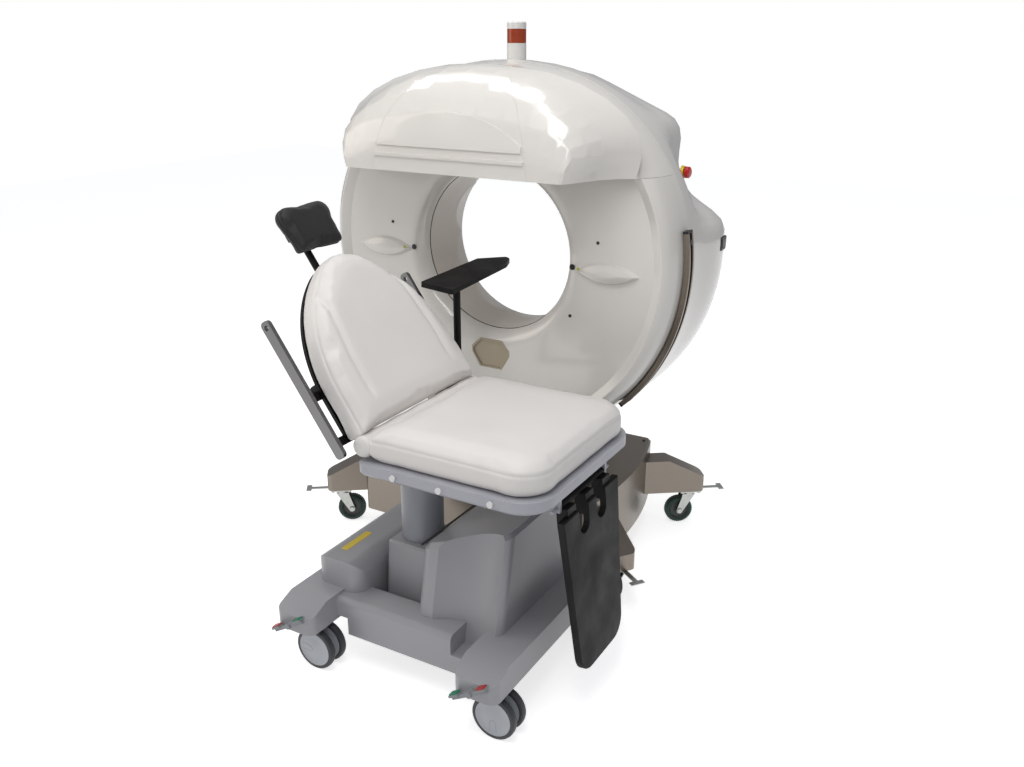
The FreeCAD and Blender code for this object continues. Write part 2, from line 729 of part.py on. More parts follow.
hollow_in = front_inset(face_y) + shell
wall = [(g * ridge_in, ridge_y + f * (joint_y - ridge_y)) for f, g in FRONT_STATIONS]
wall += [(val("flange"), joint_y), (val("flange"), joint_y - shell), (shell, joint_y - shell),
         (hollow_in, face_y + shell), (face_edge, face_y + shell), (face_edge, face_y),
         (ridge_in + 3, ridge_y)]
front = band(RING_PATH, wall).fuse(core(RING_PATH, face_edge, face_y, face_y + shell))
mouth = bore_cylinder(bore_r + lip_r, face_y - 30, face_y + shell + 1)
hood_room = Part.makeBox(1600, hood_back - ridge_y + 40, 800,
                         Vector(-800, ridge_y - 40, hood_low - gap)).cut(
    core(RING_PATH, face_edge, ridge_y - 50, hood_back + 10))
for tool in (mouth, hood_room):
    front = front.cut(tool)
front = front.fuse(lip_ring())
front = front.cut(prism_y(dock_corners(), face_y - 60, face_y + lip_r))
for side in (-1, 1):
    front = front.fuse(face_bump(side))
feature("ring_front_cover", front)

# ------------------------------------------------- gantry: rear cover, stator

rear_round, rear_front = val("rear_round"), joint_y + gap
shoulder_x, shoulder_z = val("shoulder_reach"), val("shoulder_top")
waist_x, waist_z = val("waist_reach"), val("waist_height")
bulge_x, bulge_z = val("bulge_reach"), val("bulge_height")


def rear_path():
    """Rear cover's outline: shoulder, waist and corner bulge on each side."""
    right = [(half_w, -half_w, val("foot_round")),
             (shoulder_x, shoulder_z, val("shoulder_round")),
             (waist_x, waist_z, val("waist_round")), (bulge_x, bulge_z, val("bulge_round")),
             (val("crown_half"), crown - val("rear_drop"), val("crown_round"))]
    left = [(-u, v, r) for u, v, r in reversed(right)]
    return rounded_path([(u, v + ISO, r) for u, v, r in right + left])


REAR_PATH = rear_path()


def polar_points(path, steps=24):
    """(angle, reach) from the isocentre of points along a closed path."""
    points = []
    for seg in path:
        if seg[0] == "line":
            ends = seg[1:]
            points += [(u, v) for u, v in ends]
            continue
        (cu, cv), radius, a0, a1 = seg[1:]
        turns = [a0 + (a1 - a0) * k / steps for k in range(steps + 1)]
        points += [(cu + radius * math.cos(a), cv + radius * math.sin(a)) for a in turns]
    polar = {round(math.atan2(v - ISO, u), 6): (u, v - ISO) for u, v in points}
    return sorted(polar.items())


def reach(polar, angle):
    """Distance from the isocentre to the path along a spoke."""
    spoke = math.cos(angle), math.sin(angle)
    turned = (angle + math.pi) % (2 * math.pi) - math.pi
    after = next((i for i, (a, _) in enumerate(polar) if a > turned), 0)
    (x0, z0), (x1, z1) = polar[after - 1][1], polar[after][1]
    run_x, run_z = x1 - x0, z1 - z0
    return (x0 * run_z - z0 * run_x) / (spoke[0] * run_z - spoke[1] * run_x)


# spokes: every few degrees, closer together round the shoulders and bulges
SPOKES = [math.radians(d) for d in
          [*range(-90, 0, 5), *range(0, 48, 3), *range(48, 90, 6)]]
SPOKES += [QUARTER] + [math.pi - a for a in reversed(SPOKES) if a > -QUARTER]
RING_POLAR, REAR_POLAR = polar_points(RING_PATH), polar_points(REAR_PATH)
# depth, share of the rear outline in the blend, share of the rear face's inset
REAR_STATIONS = [(rear_front, 0, 0), (0, 0.03, 0), (40, 0.16, 0), (80, 0.45, 0),
                 (120, 0.8, 0), (160, 1, 0), (205, 1, 0.04), (238, 1, 0.16),
                 (265, 1, 0.42), (283, 1, 0.74), (rear_y, 1, 1)]


def rear_wire(y, share, inset):
    """Outline between the ring's and the rear one, on the spokes."""
    points = []
    for a in SPOKES:
        r = reach(RING_POLAR, a) * (1 - share) + reach(REAR_POLAR, a) * share - inset
        points.append(Vector(r * math.cos(a), y, ISO + r * math.sin(a)))
    return Part.makePolygon(points + points[:1])


rear_outer = loft([rear_wire(y, share, g * rear_round) for y, share, g in REAR_STATIONS],
                  ruled=True)
rear_inner = loft([rear_wire(y, share, g * rear_round + shell)
                   for y, share, g in [(rear_front - 1, 0, 0)] + REAR_STATIONS[1:-2]]
                  + [rear_wire(rear_y - shell, 1, rear_round + shell)],
                  ruled=True)
rear = rear_outer.cut(rear_inner)
funnel_r, mouth_r = bore_r + val("liner_wall") + 3, val("rear_mouth")
funnel_y, slope = val("liner_rear") + 7, (mouth_r - funnel_r) / (rear_y - val("liner_rear") - 7)


def cone_y(r0, r1, y0, y1):
    return Part.makeCone(r0, r1, y1 - y0, Vector(0, y0, ISO), Y)


wall_out = shell * math.hypot(1, slope)
funnel_out = cone_y(funnel_r + wall_out, mouth_r + wall_out, funnel_y, rear_y)
funnel_in = cone_y(funnel_r, mouth_r + slope, funnel_y, rear_y + 1)
funnel_start = bore_cylinder(funnel_r + 1, rear_front - 2, funnel_y + 1)
stop_z = val("stop_z")
stop_hole = Part.makeCylinder(val("stop_stem_radius") + 2, 400,
                              Vector(300, val("stop_y"), stop_z), X)
web_half = val("web_half")
web_room = Part.makeBox(2 * web_half + 2, val("frame_thick") + 2, 600,
                        Vector(-web_half - 1, val("rotor_rear") - val("frame_thick") - 3,
                               ISO - 600 - val("frame_outer")))
funnel = funnel_out.cut(funnel_in).cut(funnel_start)
rear = rear.cut(funnel_in).fuse(funnel)
probe = Part.makeLine(Vector(0, val("stop_y"), stop_z), Vector(900, val("stop_y"), stop_z))
cover_x = max(v.Point.x for v in probe.common(rear).Vertexes)
light_room = Part.makeCylinder(val("light_radius") + 1, 40,
                               Vector(0, val("light_y"), light_seat))
rear = rear.cut(stop_hole).cut(web_room).cut(light_room)
feature("ring_rear_cover", rear)

# stator: plate round the rotor, a web down through the cover and the saddle
plate_rear = val("rotor_rear") - 2
plate_front = plate_rear - val("frame_thick")
stator = bore_cylinder(val("frame_outer"), plate_front, plate_rear)
deck_z = val("base_top") + val("plinth_tall")
stator = stator.fuse(Part.makeBox(2 * web_half, val("frame_thick"), ISO - deck_z,
                                  Vector(-web_half, plate_front, deck_z)))
saddle = Part.makeBox(2 * val("saddle_half"), val("saddle_rear") - val("saddle_front"),
                      ISO - half_w - deck_z + 90,
                      Vector(-val("saddle_half"), val("saddle_front"), deck_z))
saddle = saddle.cut(core(REAR_PATH, -seat, ridge_y - 50, rear_y + 50))
stator = stator.fuse(saddle.cut(core(RING_PATH, -seat, ridge_y - 50, rear_y + 50)))
stator = stator.cut(bore_cylinder(val("rotor_outer") + val("running_gap"),
                                  plate_front - 1, plate_rear + 1))
feature("ring_frame", stator.removeSplitter())

# ---------------------------------------------------- gantry: bore and rotor

BORE = (0, 0, S.iso_height)
body = new_body("bore_liner", BORE)
sk = sketch(body, "XY_Plane")
liner_front = S.face_depth + S.lip_round + S.seat_gap
rectangle(sk, S.bore_radius, liner_front, S.bore_radius + S.liner_wall, S.liner_rear)
turn(body, sk)
sk = sketch(body, "YZ_Plane")
wave = math.pi * bore_r / val("scallop_count")
wave_r = (wave ** 2 + val("scallop_depth") ** 2) / (2 * val("scallop_depth"))
circle(sk, S.liner_rear - S.scallop_depth + wave_r, 0, wave_r)
scallop = cut(body, sk, S.bore_radius * 1.2, reverse=True)
waves = body.newObject("PartDesign::PolarPattern", "Waves")
waves.Originals = [scallop]
waves.Axis = (sk, ["H_Axis"])
waves.Occurrences = int(val("scallop_count"))
bind(waves, "Occurrences", S.scallop_count)
waves.Angle = 360
body.Tip = waves
doc.recompute()

body = new_body("rotor_ring", BORE)
sk = sketch(body, "XY_Plane")
disc_rear = S.disc_front + S.disc_thick
outline(sk, [(S.rotor_inner, S.rotor_front), (S.rotor_outer, S.rotor_front),
             (S.rotor_outer, S.disc_front), (S.disc_radius, S.disc_front),
             (S.disc_radius, disc_rear), (S.rotor_outer, disc_rear),
             (S.rotor_outer, S.rotor_rear), (S.rotor_inner, S.rotor_rear)])
turn(body, sk)

body = new_body("xray_tube", (0, 0, S.iso_height + S.tube_reach))
sk = sketch(body, "XZ_Plane", -S.disc_front)
circle(sk, 0, 0, S.tube_radius)
pad(body, sk, S.tube_long)
soften(body, S.tube_radius * 0.16, lambda e: e.Curve.TypeId == "Part::GeomCircle"
       and e.CenterOfMass.y < val("disc_front") - 1, "Chamfer")

span = val("detector_span")
det = bore_cylinder(val("detector_outer"), val("disc_front") - val("detector_wide"),
                    val("disc_front")).cut(
    bore_cylinder(val("detector_inner"), -600, 600))
side_cut = math.radians(span / 2)
far = 2 * val("detector_outer")
wedge = prism_y([(0, ISO), (-far * math.tan(side_cut), ISO - far),
                 (far * math.tan(side_cut), ISO - far)], -600, 600)
feature("detector_arc", det.common(wedge))

# ------------------------------------------------------------ gantry: hood

HOOD_POINTS = 7
# depth behind the hood's front, half width at the belly, height and fullness
hood_front = val("hood_front")
belly = 70
lip_half, side_half = val("hood_lip_half"), val("hood_side_half")
HOOD = [(0, lip_half, lip_half + 4, 62, 2.0), (5, lip_half + 10, lip_half + 19, 98, 2.0),
        (22, lip_half + 22, 395, 170, 2.0), (62, side_half, 425, 236, 1.95),
        (122, side_half + 22, 452, 280, 1.9), (172, side_half + 60, 488, 297, 1.9),
        (205, 506, 520, 303, 2.0)]


def hood_wire(y, bottom, wide, tall, power, inset, low):
    """Open-bottomed hood section: straight lower edge, spline over the top."""
    belly_z = belly if tall > 2 * belly else tall * 0.4
    half = [(bottom - inset, 0), ((bottom * 0.4 + wide * 0.6) - inset, belly_z * 0.5)]
    for k in range(HOOD_POINTS + 1):
        a = math.pi / 2 * k / HOOD_POINTS
        half.append(((wide - inset) * math.cos(a) ** (2 / power),
                     belly_z + (tall - belly_z - inset) * math.sin(a) ** (2 / power)))
    points = [Vector(x, y, low + z) for x, z in half]
    points += [Vector(-p.x, y, p.z) for p in reversed(points[:-1])]
    return Part.makePolygon(points + points[:1])


def rim_wire(y, side_in, top_in, inset, low):
    """A section over the ring: its own outline above the hood's bottom, drawn in
    by one amount at the sides and another at the crown."""
    base, count = hood_low - ISO, HOOD_POINTS + 2
    half = []
    for k in range(count + 1):
        a = math.pi / 2 * k / count
        z = base + (crown - top_in - inset - base) * math.sin(a) ** 0.96
        drawn = side_in + (top_in - side_in) * k / count + inset
        half.append((ring_x(z, drawn) if k < count else 0, z - base))
    points = [Vector(x, y, low + z) for x, z in half]
    points += [Vector(-p.x, y, p.z) for p in reversed(points[:-1])]
    return Part.makePolygon(points + points[:1])


def hood_block(inset, low, front_in, rear_end):
    wires = [hood_wire(hood_front + d + front_in * (1 - d / 400), b, w, h, n, inset, low)
             for d, b, w, h, n in HOOD]
    middle_y = (ridge_y + hood_back) / 2
    for y, top_in in ((ridge_y, 7), (middle_y, 4), (rear_end, front_inset(hood_back))):
        wires.append(rim_wire(y, front_inset(min(y, hood_back)), top_in, inset, low))
    return loft(wires, ruled=True)


hood = hood_block(0, hood_low, 0, hood_back - gap)
hood = hood.cut(hood_block(shell, hood_low - 1, shell, hood_back + 1))
hood = hood.cut(core(RING_PATH, face_edge - seat, face_y - seat, hood_back + 10))


def beyond_seam(z0, z1, x_of, side=1, edge=0.0):
    """Region beyond a seam line x_of(z), from z0 to z1, on one side."""
    steps = 8
    line = [(side * (x_of(z0 + (z1 - z0) * k / steps) + edge), z0 + (z1 - z0) * k / steps)
            for k in range(steps + 1)]
    return prism_y(line + [(side * 900, z1), (side * 900, z0)], -600, 100)


def seam_x(z):
    """Hood seam: nearly upright at the lip, drawn to the middle at the crown."""
    t = max(z - hood_low, 0) / (ISO + crown - hood_low)
    low, high = val("seam_low"), val("seam_high")
    return low + (high - low) * (0.25 * t + 0.75 * t ** 3.2)


top_z = ISO + crown + 20
outer_right = beyond_seam(hood_low - 2, top_z, seam_x, 1, 0)
outer_left = beyond_seam(hood_low - 2, top_z, seam_x, -1, 0)
inner_right = beyond_seam(hood_low - 2, top_z, seam_x, 1, -gap)
inner_left = beyond_seam(hood_low - 2, top_z, seam_x, -1, -gap)
group("hood_sides", [hood.common(outer_right), hood.common(outer_left)])
middle = hood.cut(inner_right).cut(inner_left)

# raised arch on the hood's front and the rib below it
v_half, v_low = val("visor_half"), val("visor_low")
ends = [Vector(v_half, -600, val("visor_shoulder")), Vector(-v_half, -600, val("visor_shoulder"))]
arch_face = Part.Face(Part.Wire([
    Part.Arc(ends[0], Vector(0, -600, val("visor_apex")), ends[1]).toShape(),
    Part.makeLine(ends[1], Vector(-v_half, -600, v_low)),
    Part.makeLine(Vector(-v_half, -600, v_low), Vector(v_half, -600, v_low)),
    Part.makeLine(Vector(v_half, -600, v_low), ends[0])]))
arch = upright(arch_face.extrude(Vector(0, 400, 0)))
rib = Part.makeBox(2 * v_half + 16, 400, val("rib_tall"),
                   Vector(-v_half - 8, -600, val("rib_low")))
skin = hood_block(-val("visor_raise"), hood_low - val("visor_raise"),
                  -val("visor_raise"), hood_back + 1).cut(
    hood_block(shell / 2, hood_low - 3, shell / 2, hood_back + 2))
middle = middle.fuse(skin.common(arch.fuse(rib)))
feature("hood_centre", middle)

# ------------------------------------------- gantry: fittings on the covers

dock = prism_y(dock_corners(-seat), face_y + shell, face_y + shell + 4)
dock_rim = prism_y(dock_corners(-seat), face_y, face_y + shell).cut(
    prism_y(dock_corners(-shell), face_y - 1, face_y + shell + 1))
feature("docking_plate", dock.fuse(dock_rim))


def radial(radius, deg, r0, r1, y):
    """Cylinder that points away from the bore's axis at an angle."""
    a = math.radians(deg)
    d = Vector(math.cos(a), 0, math.sin(a))
    return Part.makeCylinder(radius, r1 - r0, Vector(0, y, ISO) + d * r0, d)


def rail_arc(points, start, end):
    """Turn a (radius, y) profile about the bore's axis between two angles."""
    a = math.radians(start)
    face = Part.Face(Part.makePolygon(
        [Vector(r * math.cos(a), y, ISO + r * math.sin(a))
         for r, y in points + points[:1]]))
    return upright(face.revolve(Vector(0, 0, ISO), -Y, end - start))


def both_sides(shape):
    return [shape, shape.mirror(Vector(0, 0, 0), X)]


rail_y, rail_half = val("rail_y"), val("rail_wide") / 2
rail_in = half_w - front_inset(rail_y + rail_half) + seat
rail_out = rail_in + val("rail_deep")
groove_in, groove_half = rail_in + 6, val("rail_groove") / 2
channel = [(rail_in, rail_y - rail_half), (rail_out, rail_y - rail_half),
           (rail_out, rail_y - groove_half), (groove_in, rail_y - groove_half),
           (groove_in, rail_y + groove_half), (rail_out, rail_y + groove_half),
           (rail_out, rail_y + rail_half), (rail_in, rail_y + rail_half)]
low_end, high_end = -val("rail_bottom"), val("rail_top")
cap = val("cap_angle")
rail = rail_arc(channel, low_end + cap, high_end - cap)
group("curved_rails", both_sides(rail))
block = [channel[0], channel[1], channel[6], channel[7]]
caps = []
for start, bolt in ((low_end, low_end + 3 * cap + 1), (high_end - cap, high_end - 3 * cap - 1)):
    caps += both_sides(rail_arc(block, start, start + cap))
    caps += both_sides(radial(val("rail_bolt_radius"), bolt, groove_in, rail_out + 1, rail_y))
group("rail_end_caps", caps)

heads = []
for x, z in ((378, 1098), (-378, 1092), (290, 860), (-290, 860)):
    heads.append(Part.makeCylinder(val("screw_radius"), 2, Vector(x, face_y - 2, z), Y))
group("cover_screws", heads)

windows = []
for side in (-1, 1):
    centre = Vector(side * (val("window_reach")), face_y - 1.5, ISO - val("window_drop"))
    windows.append(Part.makeCylinder(val("window_radius"), 1.5, centre, Y))
group("sensor_windows", windows)

# stack light on the crown
body = new_body("stack_light_housing", (0, S.light_y, light_seat + seat))
base_tall, lens_tall = S.light_base_tall, S.light_lens_tall
top = base_tall + lens_tall + S.light_cap_tall
spine, r_light = S.light_radius * 0.4, S.light_radius
sk = sketch(body, "XZ_Plane")
outline(sk, [(0, 0), (r_light, 0), (r_light, base_tall), (spine, base_tall),
             (spine, base_tall + lens_tall), (r_light, base_tall + lens_tall),
             (r_light, top - 3), (r_light - 3, top), (0, top)])
turn(body, sk)
body = new_body("stack_light_lens", (0, S.light_y, light_seat + seat))
sk = sketch(body, "XZ_Plane")
rectangle(sk, spine + S.seat_gap, base_tall + S.seat_gap, r_light - 1,
          base_tall + lens_tall - S.seat_gap)
turn(body, sk)

# emergency stop: yellow collar on the cover's corner, red button on a stem
collar_in = 16
body = new_body("estop_base", (cover_x, S.stop_y, S.stop_z))
sk = sketch(body, "XY_Plane")
outline(sk, [(-collar_in - 12, 0), (-collar_in - 12, S.stop_stem_radius + 1),
             (collar_in, S.stop_stem_radius + 1), (collar_in, S.stop_base_radius),
             (S.stop_base_tall + collar_in, S.stop_base_radius - 2),
             (S.stop_base_tall + collar_in, S.stop_stem_radius - 3),
             (0, S.stop_stem_radius - 3), (0, 0)])
turn(body, sk, "H_Axis")
body = new_body("estop_button", (cover_x, S.stop_y, S.stop_z))
sk = sketch(body, "XY_Plane")
stem = S.stop_stem_radius - 3 - S.seat_gap
head_x = S.stop_base_tall + collar_in + S.stop_travel + S.seat_gap
outline(sk, [(S.stop_travel + S.seat_gap, 0), (S.stop_travel + S.seat_gap, stem),
             (head_x, stem), (head_x, S.stop_head_radius),
             (head_x + S.stop_head_tall - 4, S.stop_head_radius),
             (head_x + S.stop_head_tall, S.stop_head_radius * 0.7),
             (head_x + S.stop_head_tall, 0)])
turn(body, sk, "H_Axis")

# ------------------------------------------------------------ gantry: base

body = new_body("base_housing")
sk = sketch(body, "XY_Plane", S.base_bottom)
outline(sk, [(-S.base_front_half, S.base_front), (S.base_front_half, S.base_front, S.base_side_radius),
             (S.base_back_half, S.base_back), (-S.base_back_half, S.base_back, S.base_side_radius)])
pad(body, sk, S.base_top - S.base_bottom)
soften(body, S.base_corner, lambda e: along(e, Z))
soften(body, S.deck_round, lambda e: e.CenterOfMass.z > val("base_top") - 1, "Chamfer")
sk = sketch(body, "XY_Plane", S.base_top)
rectangle(sk, -S.plinth_half, S.saddle_front - 30, S.plinth_half, S.saddle_rear + 30)
pad(body, sk, S.plinth_tall)
soften(body, 24, lambda e: along(e, Z) and e.CenterOfMass.z > val("base_top"))
sk = sketch(body, "XZ_Plane", -S.base_front)
rectangle(sk, S.slot_x - S.slot_wide / 2, S.slot_z - S.slot_tall / 2,
          S.slot_x + S.slot_wide / 2, S.slot_z + S.slot_tall / 2)
cut(body, sk, S.slot_deep)
sk = sketch(body, "XZ_Plane", -S.base_front)
circle(sk, S.socket_x, S.socket_z, S.socket_radius * 0.8)
cut(body, sk, S.slot_deep)

body = new_body("base_socket", (S.socket_x, S.base_front, S.socket_z))
sk = sketch(body, "XY_Plane")
inner = S.socket_radius * 0.8 - S.seat_gap
outline(sk, [(0, -S.socket_long), (S.socket_radius * 0.62, -S.socket_long),
             (S.socket_radius * 0.62, -S.seat_gap - 6), (S.socket_radius, -S.seat_gap - 6),
             (S.socket_radius, -S.seat_gap), (inner, -S.seat_gap),
             (inner, S.slot_deep - S.seat_gap), (0, S.slot_deep - S.seat_gap)])
turn(body, sk)

# ---------------------------------------- gantry: outriggers and castors


def base_outline(grow):
    """Plan of the base, grown by a clearance."""
    xf, xb, r = val("base_front_half"), val("base_back_half"), val("base_side_radius")
    yf, yb = val("base_front"), val("base_back")
    run = Vector(xb - xf, yb - yf, 0)
    mid = Vector((xf + xb) / 2, (yf + yb) / 2, 0)
    bow = r - math.sqrt(r * r - run.Length ** 2 / 4)
    side = mid + Vector(run.y, -run.x, 0).normalize() * (bow + grow)
    right = [Vector(xf + grow, yf - grow, 0), side, Vector(xb + grow, yb + grow, 0)]
    left = [Vector(-p.x, p.y, 0) for p in reversed(right)]
    return Part.Wire([Part.makeLine(left[2], right[0]), Part.Arc(*right).toShape(),
                      Part.makeLine(right[2], left[0]), Part.Arc(*left).toShape()])


arm_high, arm_low = val("arm_high"), val("arm_low")
arm_profile = [(-val("arm_inboard"), arm_low), (val("arm_outboard"), arm_low),
               (val("arm_outboard"), val("arm_end_high")),
               (val("arm_bend") - val("arm_inboard"), arm_high), (-val("arm_inboard"), arm_high)]
arm = prism_y(arm_profile, -val("arm_wide") / 2, val("arm_wide") / 2)
arm = arm.makeFillet(20, [e for e in arm.Edges if along(e, Z)
                          and e.CenterOfMass.x > 0])
base_room = upright(Part.Face(base_outline(seat)).extrude(Vector(0, 0, 600)))
arm_turn = val("arm_angle")
CORNERS = {"front_right": (1, -1), "rear_right": (1, 1),
           "rear_left": (-1, 1), "front_left": (-1, -1)}
arms = []
for sx, sy in CORNERS.values():
    piece = arm.copy()
    outward = math.degrees(math.atan2(sy * math.sin(math.radians(arm_turn)),
                                      sx * math.cos(math.radians(arm_turn))))
    piece.Placement = Placement(Vector(sx * val("caster_x"), sy * val("caster_y"), 0),
                                Rotation(Vector(0, 0, 1), outward))
    arms.append(piece.cut(base_room))
group("outriggers", arms)

plates = []
plate_top = arm_low - seat
swivel_top = plate_top - val("plate_thick")
for (sx, sy), piece in zip(CORNERS.values(), arms):
    side = val("plate_side")
    plate = Part.makeBox(side, side, val("plate_thick"),
                         Vector(-side / 2, -side / 2, swivel_top))
    plate = plate.fuse(Part.makeCylinder(val("swivel_radius"), val("swivel_tall") / 2,
                                         Vector(0, 0, swivel_top - val("swivel_tall") / 2)))
    outward = math.degrees(math.atan2(sy * math.sin(math.radians(arm_turn)),
                                      sx * math.cos(math.radians(arm_turn))))
    plate.Placement = Placement(Vector(sx * val("caster_x"), sy * val("caster_y"), 0),
                                Rotation(Vector(0, 0, 1), outward))
    plates.append(plate)
group("caster_plates", plates)

fork_top = swivel_top - val("swivel_tall") / 2 - seat
for corner, (sx, sy) in CORNERS.items():
    turned = {(1, 1): S.arm_angle, (1, -1): -S.arm_angle,
              (-1, 1): 180 - S.arm_angle, (-1, -1): S.arm_angle - 180}[(sx, sy)]
    at = (sx * S.caster_x, sy * S.caster_y, 0)
    half = S.wheel_wide / 2 + S.fork_gap
    body = new_body(f"gantry_fork_{corner}", at, turned)
    sk = sketch(body, "XY_Plane", fork_top)
    circle(sk, 0, 0, S.swivel_radius)
    pad(body, sk, S.swivel_tall / 2, reverse=True)
    for side in (-1, 1):
        sk = sketch(body, "XZ_Plane", side * half)
        outline(sk, [(S.swivel_radius * 0.8, fork_top - S.swivel_tall / 2),
                     (-S.swivel_radius, fork_top - S.swivel_tall / 2),
                     (-S.caster_trail - 11, S.wheel_radius), (-S.caster_trail - 7, S.wheel_radius - 10),
                     (-S.caster_trail + 7, S.wheel_radius - 10)])
        pad(body, sk, S.fork_wall, reverse=side < 0)
    sk = sketch(body, "XZ_Plane", -half - S.fork_wall - 1)
    circle(sk, -S.caster_trail, S.wheel_radius, S.axle_radius)
    pad(body, sk, half * 2 + S.fork_wall * 2 + 2)
    wheel = new_body(f"gantry_wheel_{corner}", at, turned)
    sk = sketch(wheel, "XZ_Plane", -S.wheel_wide / 2)
    circle(sk, -S.caster_trail, S.wheel_radius, S.wheel_radius)
    circle(sk, -S.caster_trail, S.wheel_radius, S.axle_radius + 0.3)
    pad(wheel, sk, S.wheel_wide)
    lever = new_body(f"lock_pedal_{corner}", at, turned)
    start = S.plate_side / 2 + S.seat_gap * 2
    sk = sketch(lever, "XY_Plane", swivel_top + 0.5)
    reach = start + S.pedal_long
    outline(sk, [(start, -S.pedal_wide / 2), (reach - 18, -S.pedal_wide / 2),
                 (reach - 18, -S.pedal_foot / 2), (reach, -S.pedal_foot / 2),
                 (reach, S.pedal_foot / 2), (reach - 18, S.pedal_foot / 2),
                 (reach - 18, S.pedal_wide / 2), (start, S.pedal_wide / 2)])
    pad(lever, sk, S.pedal_thick)
    sk = sketch(lever, "XZ_Plane", -S.pedal_wide / 2)
    circle(sk, start + S.pedal_hub, swivel_top + 0.5 + S.pedal_thick / 2, S.pedal_hub)
    pad(lever, sk, S.pedal_wide)

# -------------------------------------------------------- chair: wheeled base

chair_x, chair_y = val("chair_x"), val("chair_y")
track, wheelbase = val("chair_track") / 2, val("chair_base") / 2
left_x, right_x = chair_x - track, chair_x + track
near_y, far_y = chair_y - wheelbase, chair_y + wheelbase
leg_half, leg_low, leg_high = val("leg_wide") / 2, val("leg_low"), val("leg_high")


def block(x0, x1, y0, y1, z0, z1):
    return Part.makeBox(x1 - x0, y1 - y0, z1 - z0, Vector(x0, y0, z0))


def rounded(shape, radius, chosen):
    return shape.makeFillet(radius, [e for e in shape.Edges if chosen(e)])


def prism_x(corners, x0, x1):
    """Prism along X over (y, z) corners."""
    points = [Vector(x0, y, z) for y, z in corners + corners[:1]]
    return upright(Part.Face(Part.makePolygon(points)).extrude(Vector(x1 - x0, 0, 0)))


def leg(cx):
    """Moulded leg along Y that carries two castors, lower towards its ends."""
    y0, y1 = near_y - val("leg_over"), far_y + val("leg_over")
    side = prism_x([(y0, leg_low), (y1, leg_low), (y1, leg_high - 28), (y1 - 70, leg_high),
                    (y0 + 70, leg_high), (y0, leg_high - 28)], cx - leg_half, cx + leg_half)
    side = rounded(side, 26, lambda e: along(e, Z))
    return side


beam_y0 = near_y + val("beam_set")
beam_y1 = beam_y0 + val("beam_wide")
split_x = chair_x + 153
box_l0 = left_x - leg_half + 24
left_box = block(box_l0, box_l0 + val("left_box_wide"), val("left_box_front"),
                 val("left_box_rear"), leg_low + 1, val("left_box_high"))
left_box = rounded(left_box, val("left_box_round"), lambda e: (along(e, Y)
                   and e.CenterOfMass.z > 200) or along(e, Z))
pan_y1 = far_y
pan_x0, pan_x1 = left_x + val("castor_room"), right_x - val("castor_room")
pan = block(pan_x0, pan_x1, beam_y0, pan_y1, val("pan_low"), val("pan_high"))
beam = block(left_x, split_x, beam_y0, beam_y1, val("beam_low"), val("beam_high"))
beam = rounded(beam, 18, lambda e: along(e, X) and e.CenterOfMass.z > val("pan_high") + 20)
left_base = leg(left_x).fuse(left_box).fuse(beam).fuse(pan)

# right housing: front leans back, top slopes up to the outside
rx0, rx1 = val("right_box_left"), val("right_box_right")
ry0, ry1 = val("right_box_front"), val("right_box_rear")
rz0, low_top, high_top = val("right_box_bottom"), val("right_box_low_top"), val("right_box_high_top")
lean = val("right_box_lean") / (high_top - rz0)


def top_at(x):
    return low_top + (high_top - low_top) * (x - rx0) / (rx1 - rx0)


def side_wire(x, inset):
    top = top_at(x) - inset
    y0, y1 = ry0 + inset, ry1 - inset
    pts = [Vector(x, y0, rz0 + inset), Vector(x, y1, rz0 + inset),
           Vector(x, y1 - lean * 0.5 * (top - rz0), top),
           Vector(x, y0 + lean * (top - rz0), top)]
    return Part.makePolygon(pts + pts[:1])


right_box = loft([side_wire(rx0, 0), side_wire(rx1, 0)], ruled=True)
right_box = right_box.makeFillet(val("right_box_round"), [
    e for e in right_box.Edges if e.BoundBox.ZLength > 200])
right_box = right_box.makeChamfer(12, [
    e for e in right_box.Edges if e.CenterOfMass.z > low_top - 20 and e.BoundBox.ZLength < 150])
hollow_r = 150
front_mid = Vector((rx0 + rx1) / 2 + 22, ry0 - hollow_r + 22, rz0 - 60)
slant = Vector(0, lean, 1)
dent = Part.makeCylinder(hollow_r, 500, front_mid, slant)
right_box = right_box.cut(dent)
pan_room = block(left_x, pan_x1 + seat, beam_y0 - seat, pan_y1 + seat, val("pan_low") - 30,
                 val("pan_high") + seat)
beam_room = block(left_x, split_x + seat, beam_y0 - seat, beam_y1 + seat,
                  val("pan_low") - 20, val("beam_high") + seat)
right_leg = leg(right_x)
right_base = right_box.fuse(right_leg).cut(pan_room).cut(beam_room)
feature("chair_base_right", right_base)

# column cover on the pan, round the column's inner tube
col_x = val("column_x")
tube_r = val("column_radius")
cw, cl = val("column_box_wide") / 2, val("column_box_long") / 2
taper = val("column_box_taper")


cover_low = val("pan_high") + seat
cover_high = val("column_box_high")
cover = solid_band(rounded_box(col_x - cw, col_x + cw, chair_y - cl, chair_y + cl, 24),
                   [(0, cover_low), (taper, cover_high - 6), (taper + 6, cover_high)], "XY")
tube_room = Part.makeCylinder(tube_r + val("column_gap"), 600,
                              Vector(col_x, chair_y, val("pan_low") - 1))
right_room = block(rx0 - seat, rx1, ry0, ry1, 0, 600)
feature("column_cover", cover.cut(tube_room).cut(right_room).cut(
    block(0, box_l0 + val("left_box_wide") + seat, -2000, 0, 0, val("left_box_high") + seat)))
feature("chair_base_left", left_base.cut(tube_room).removeSplitter())

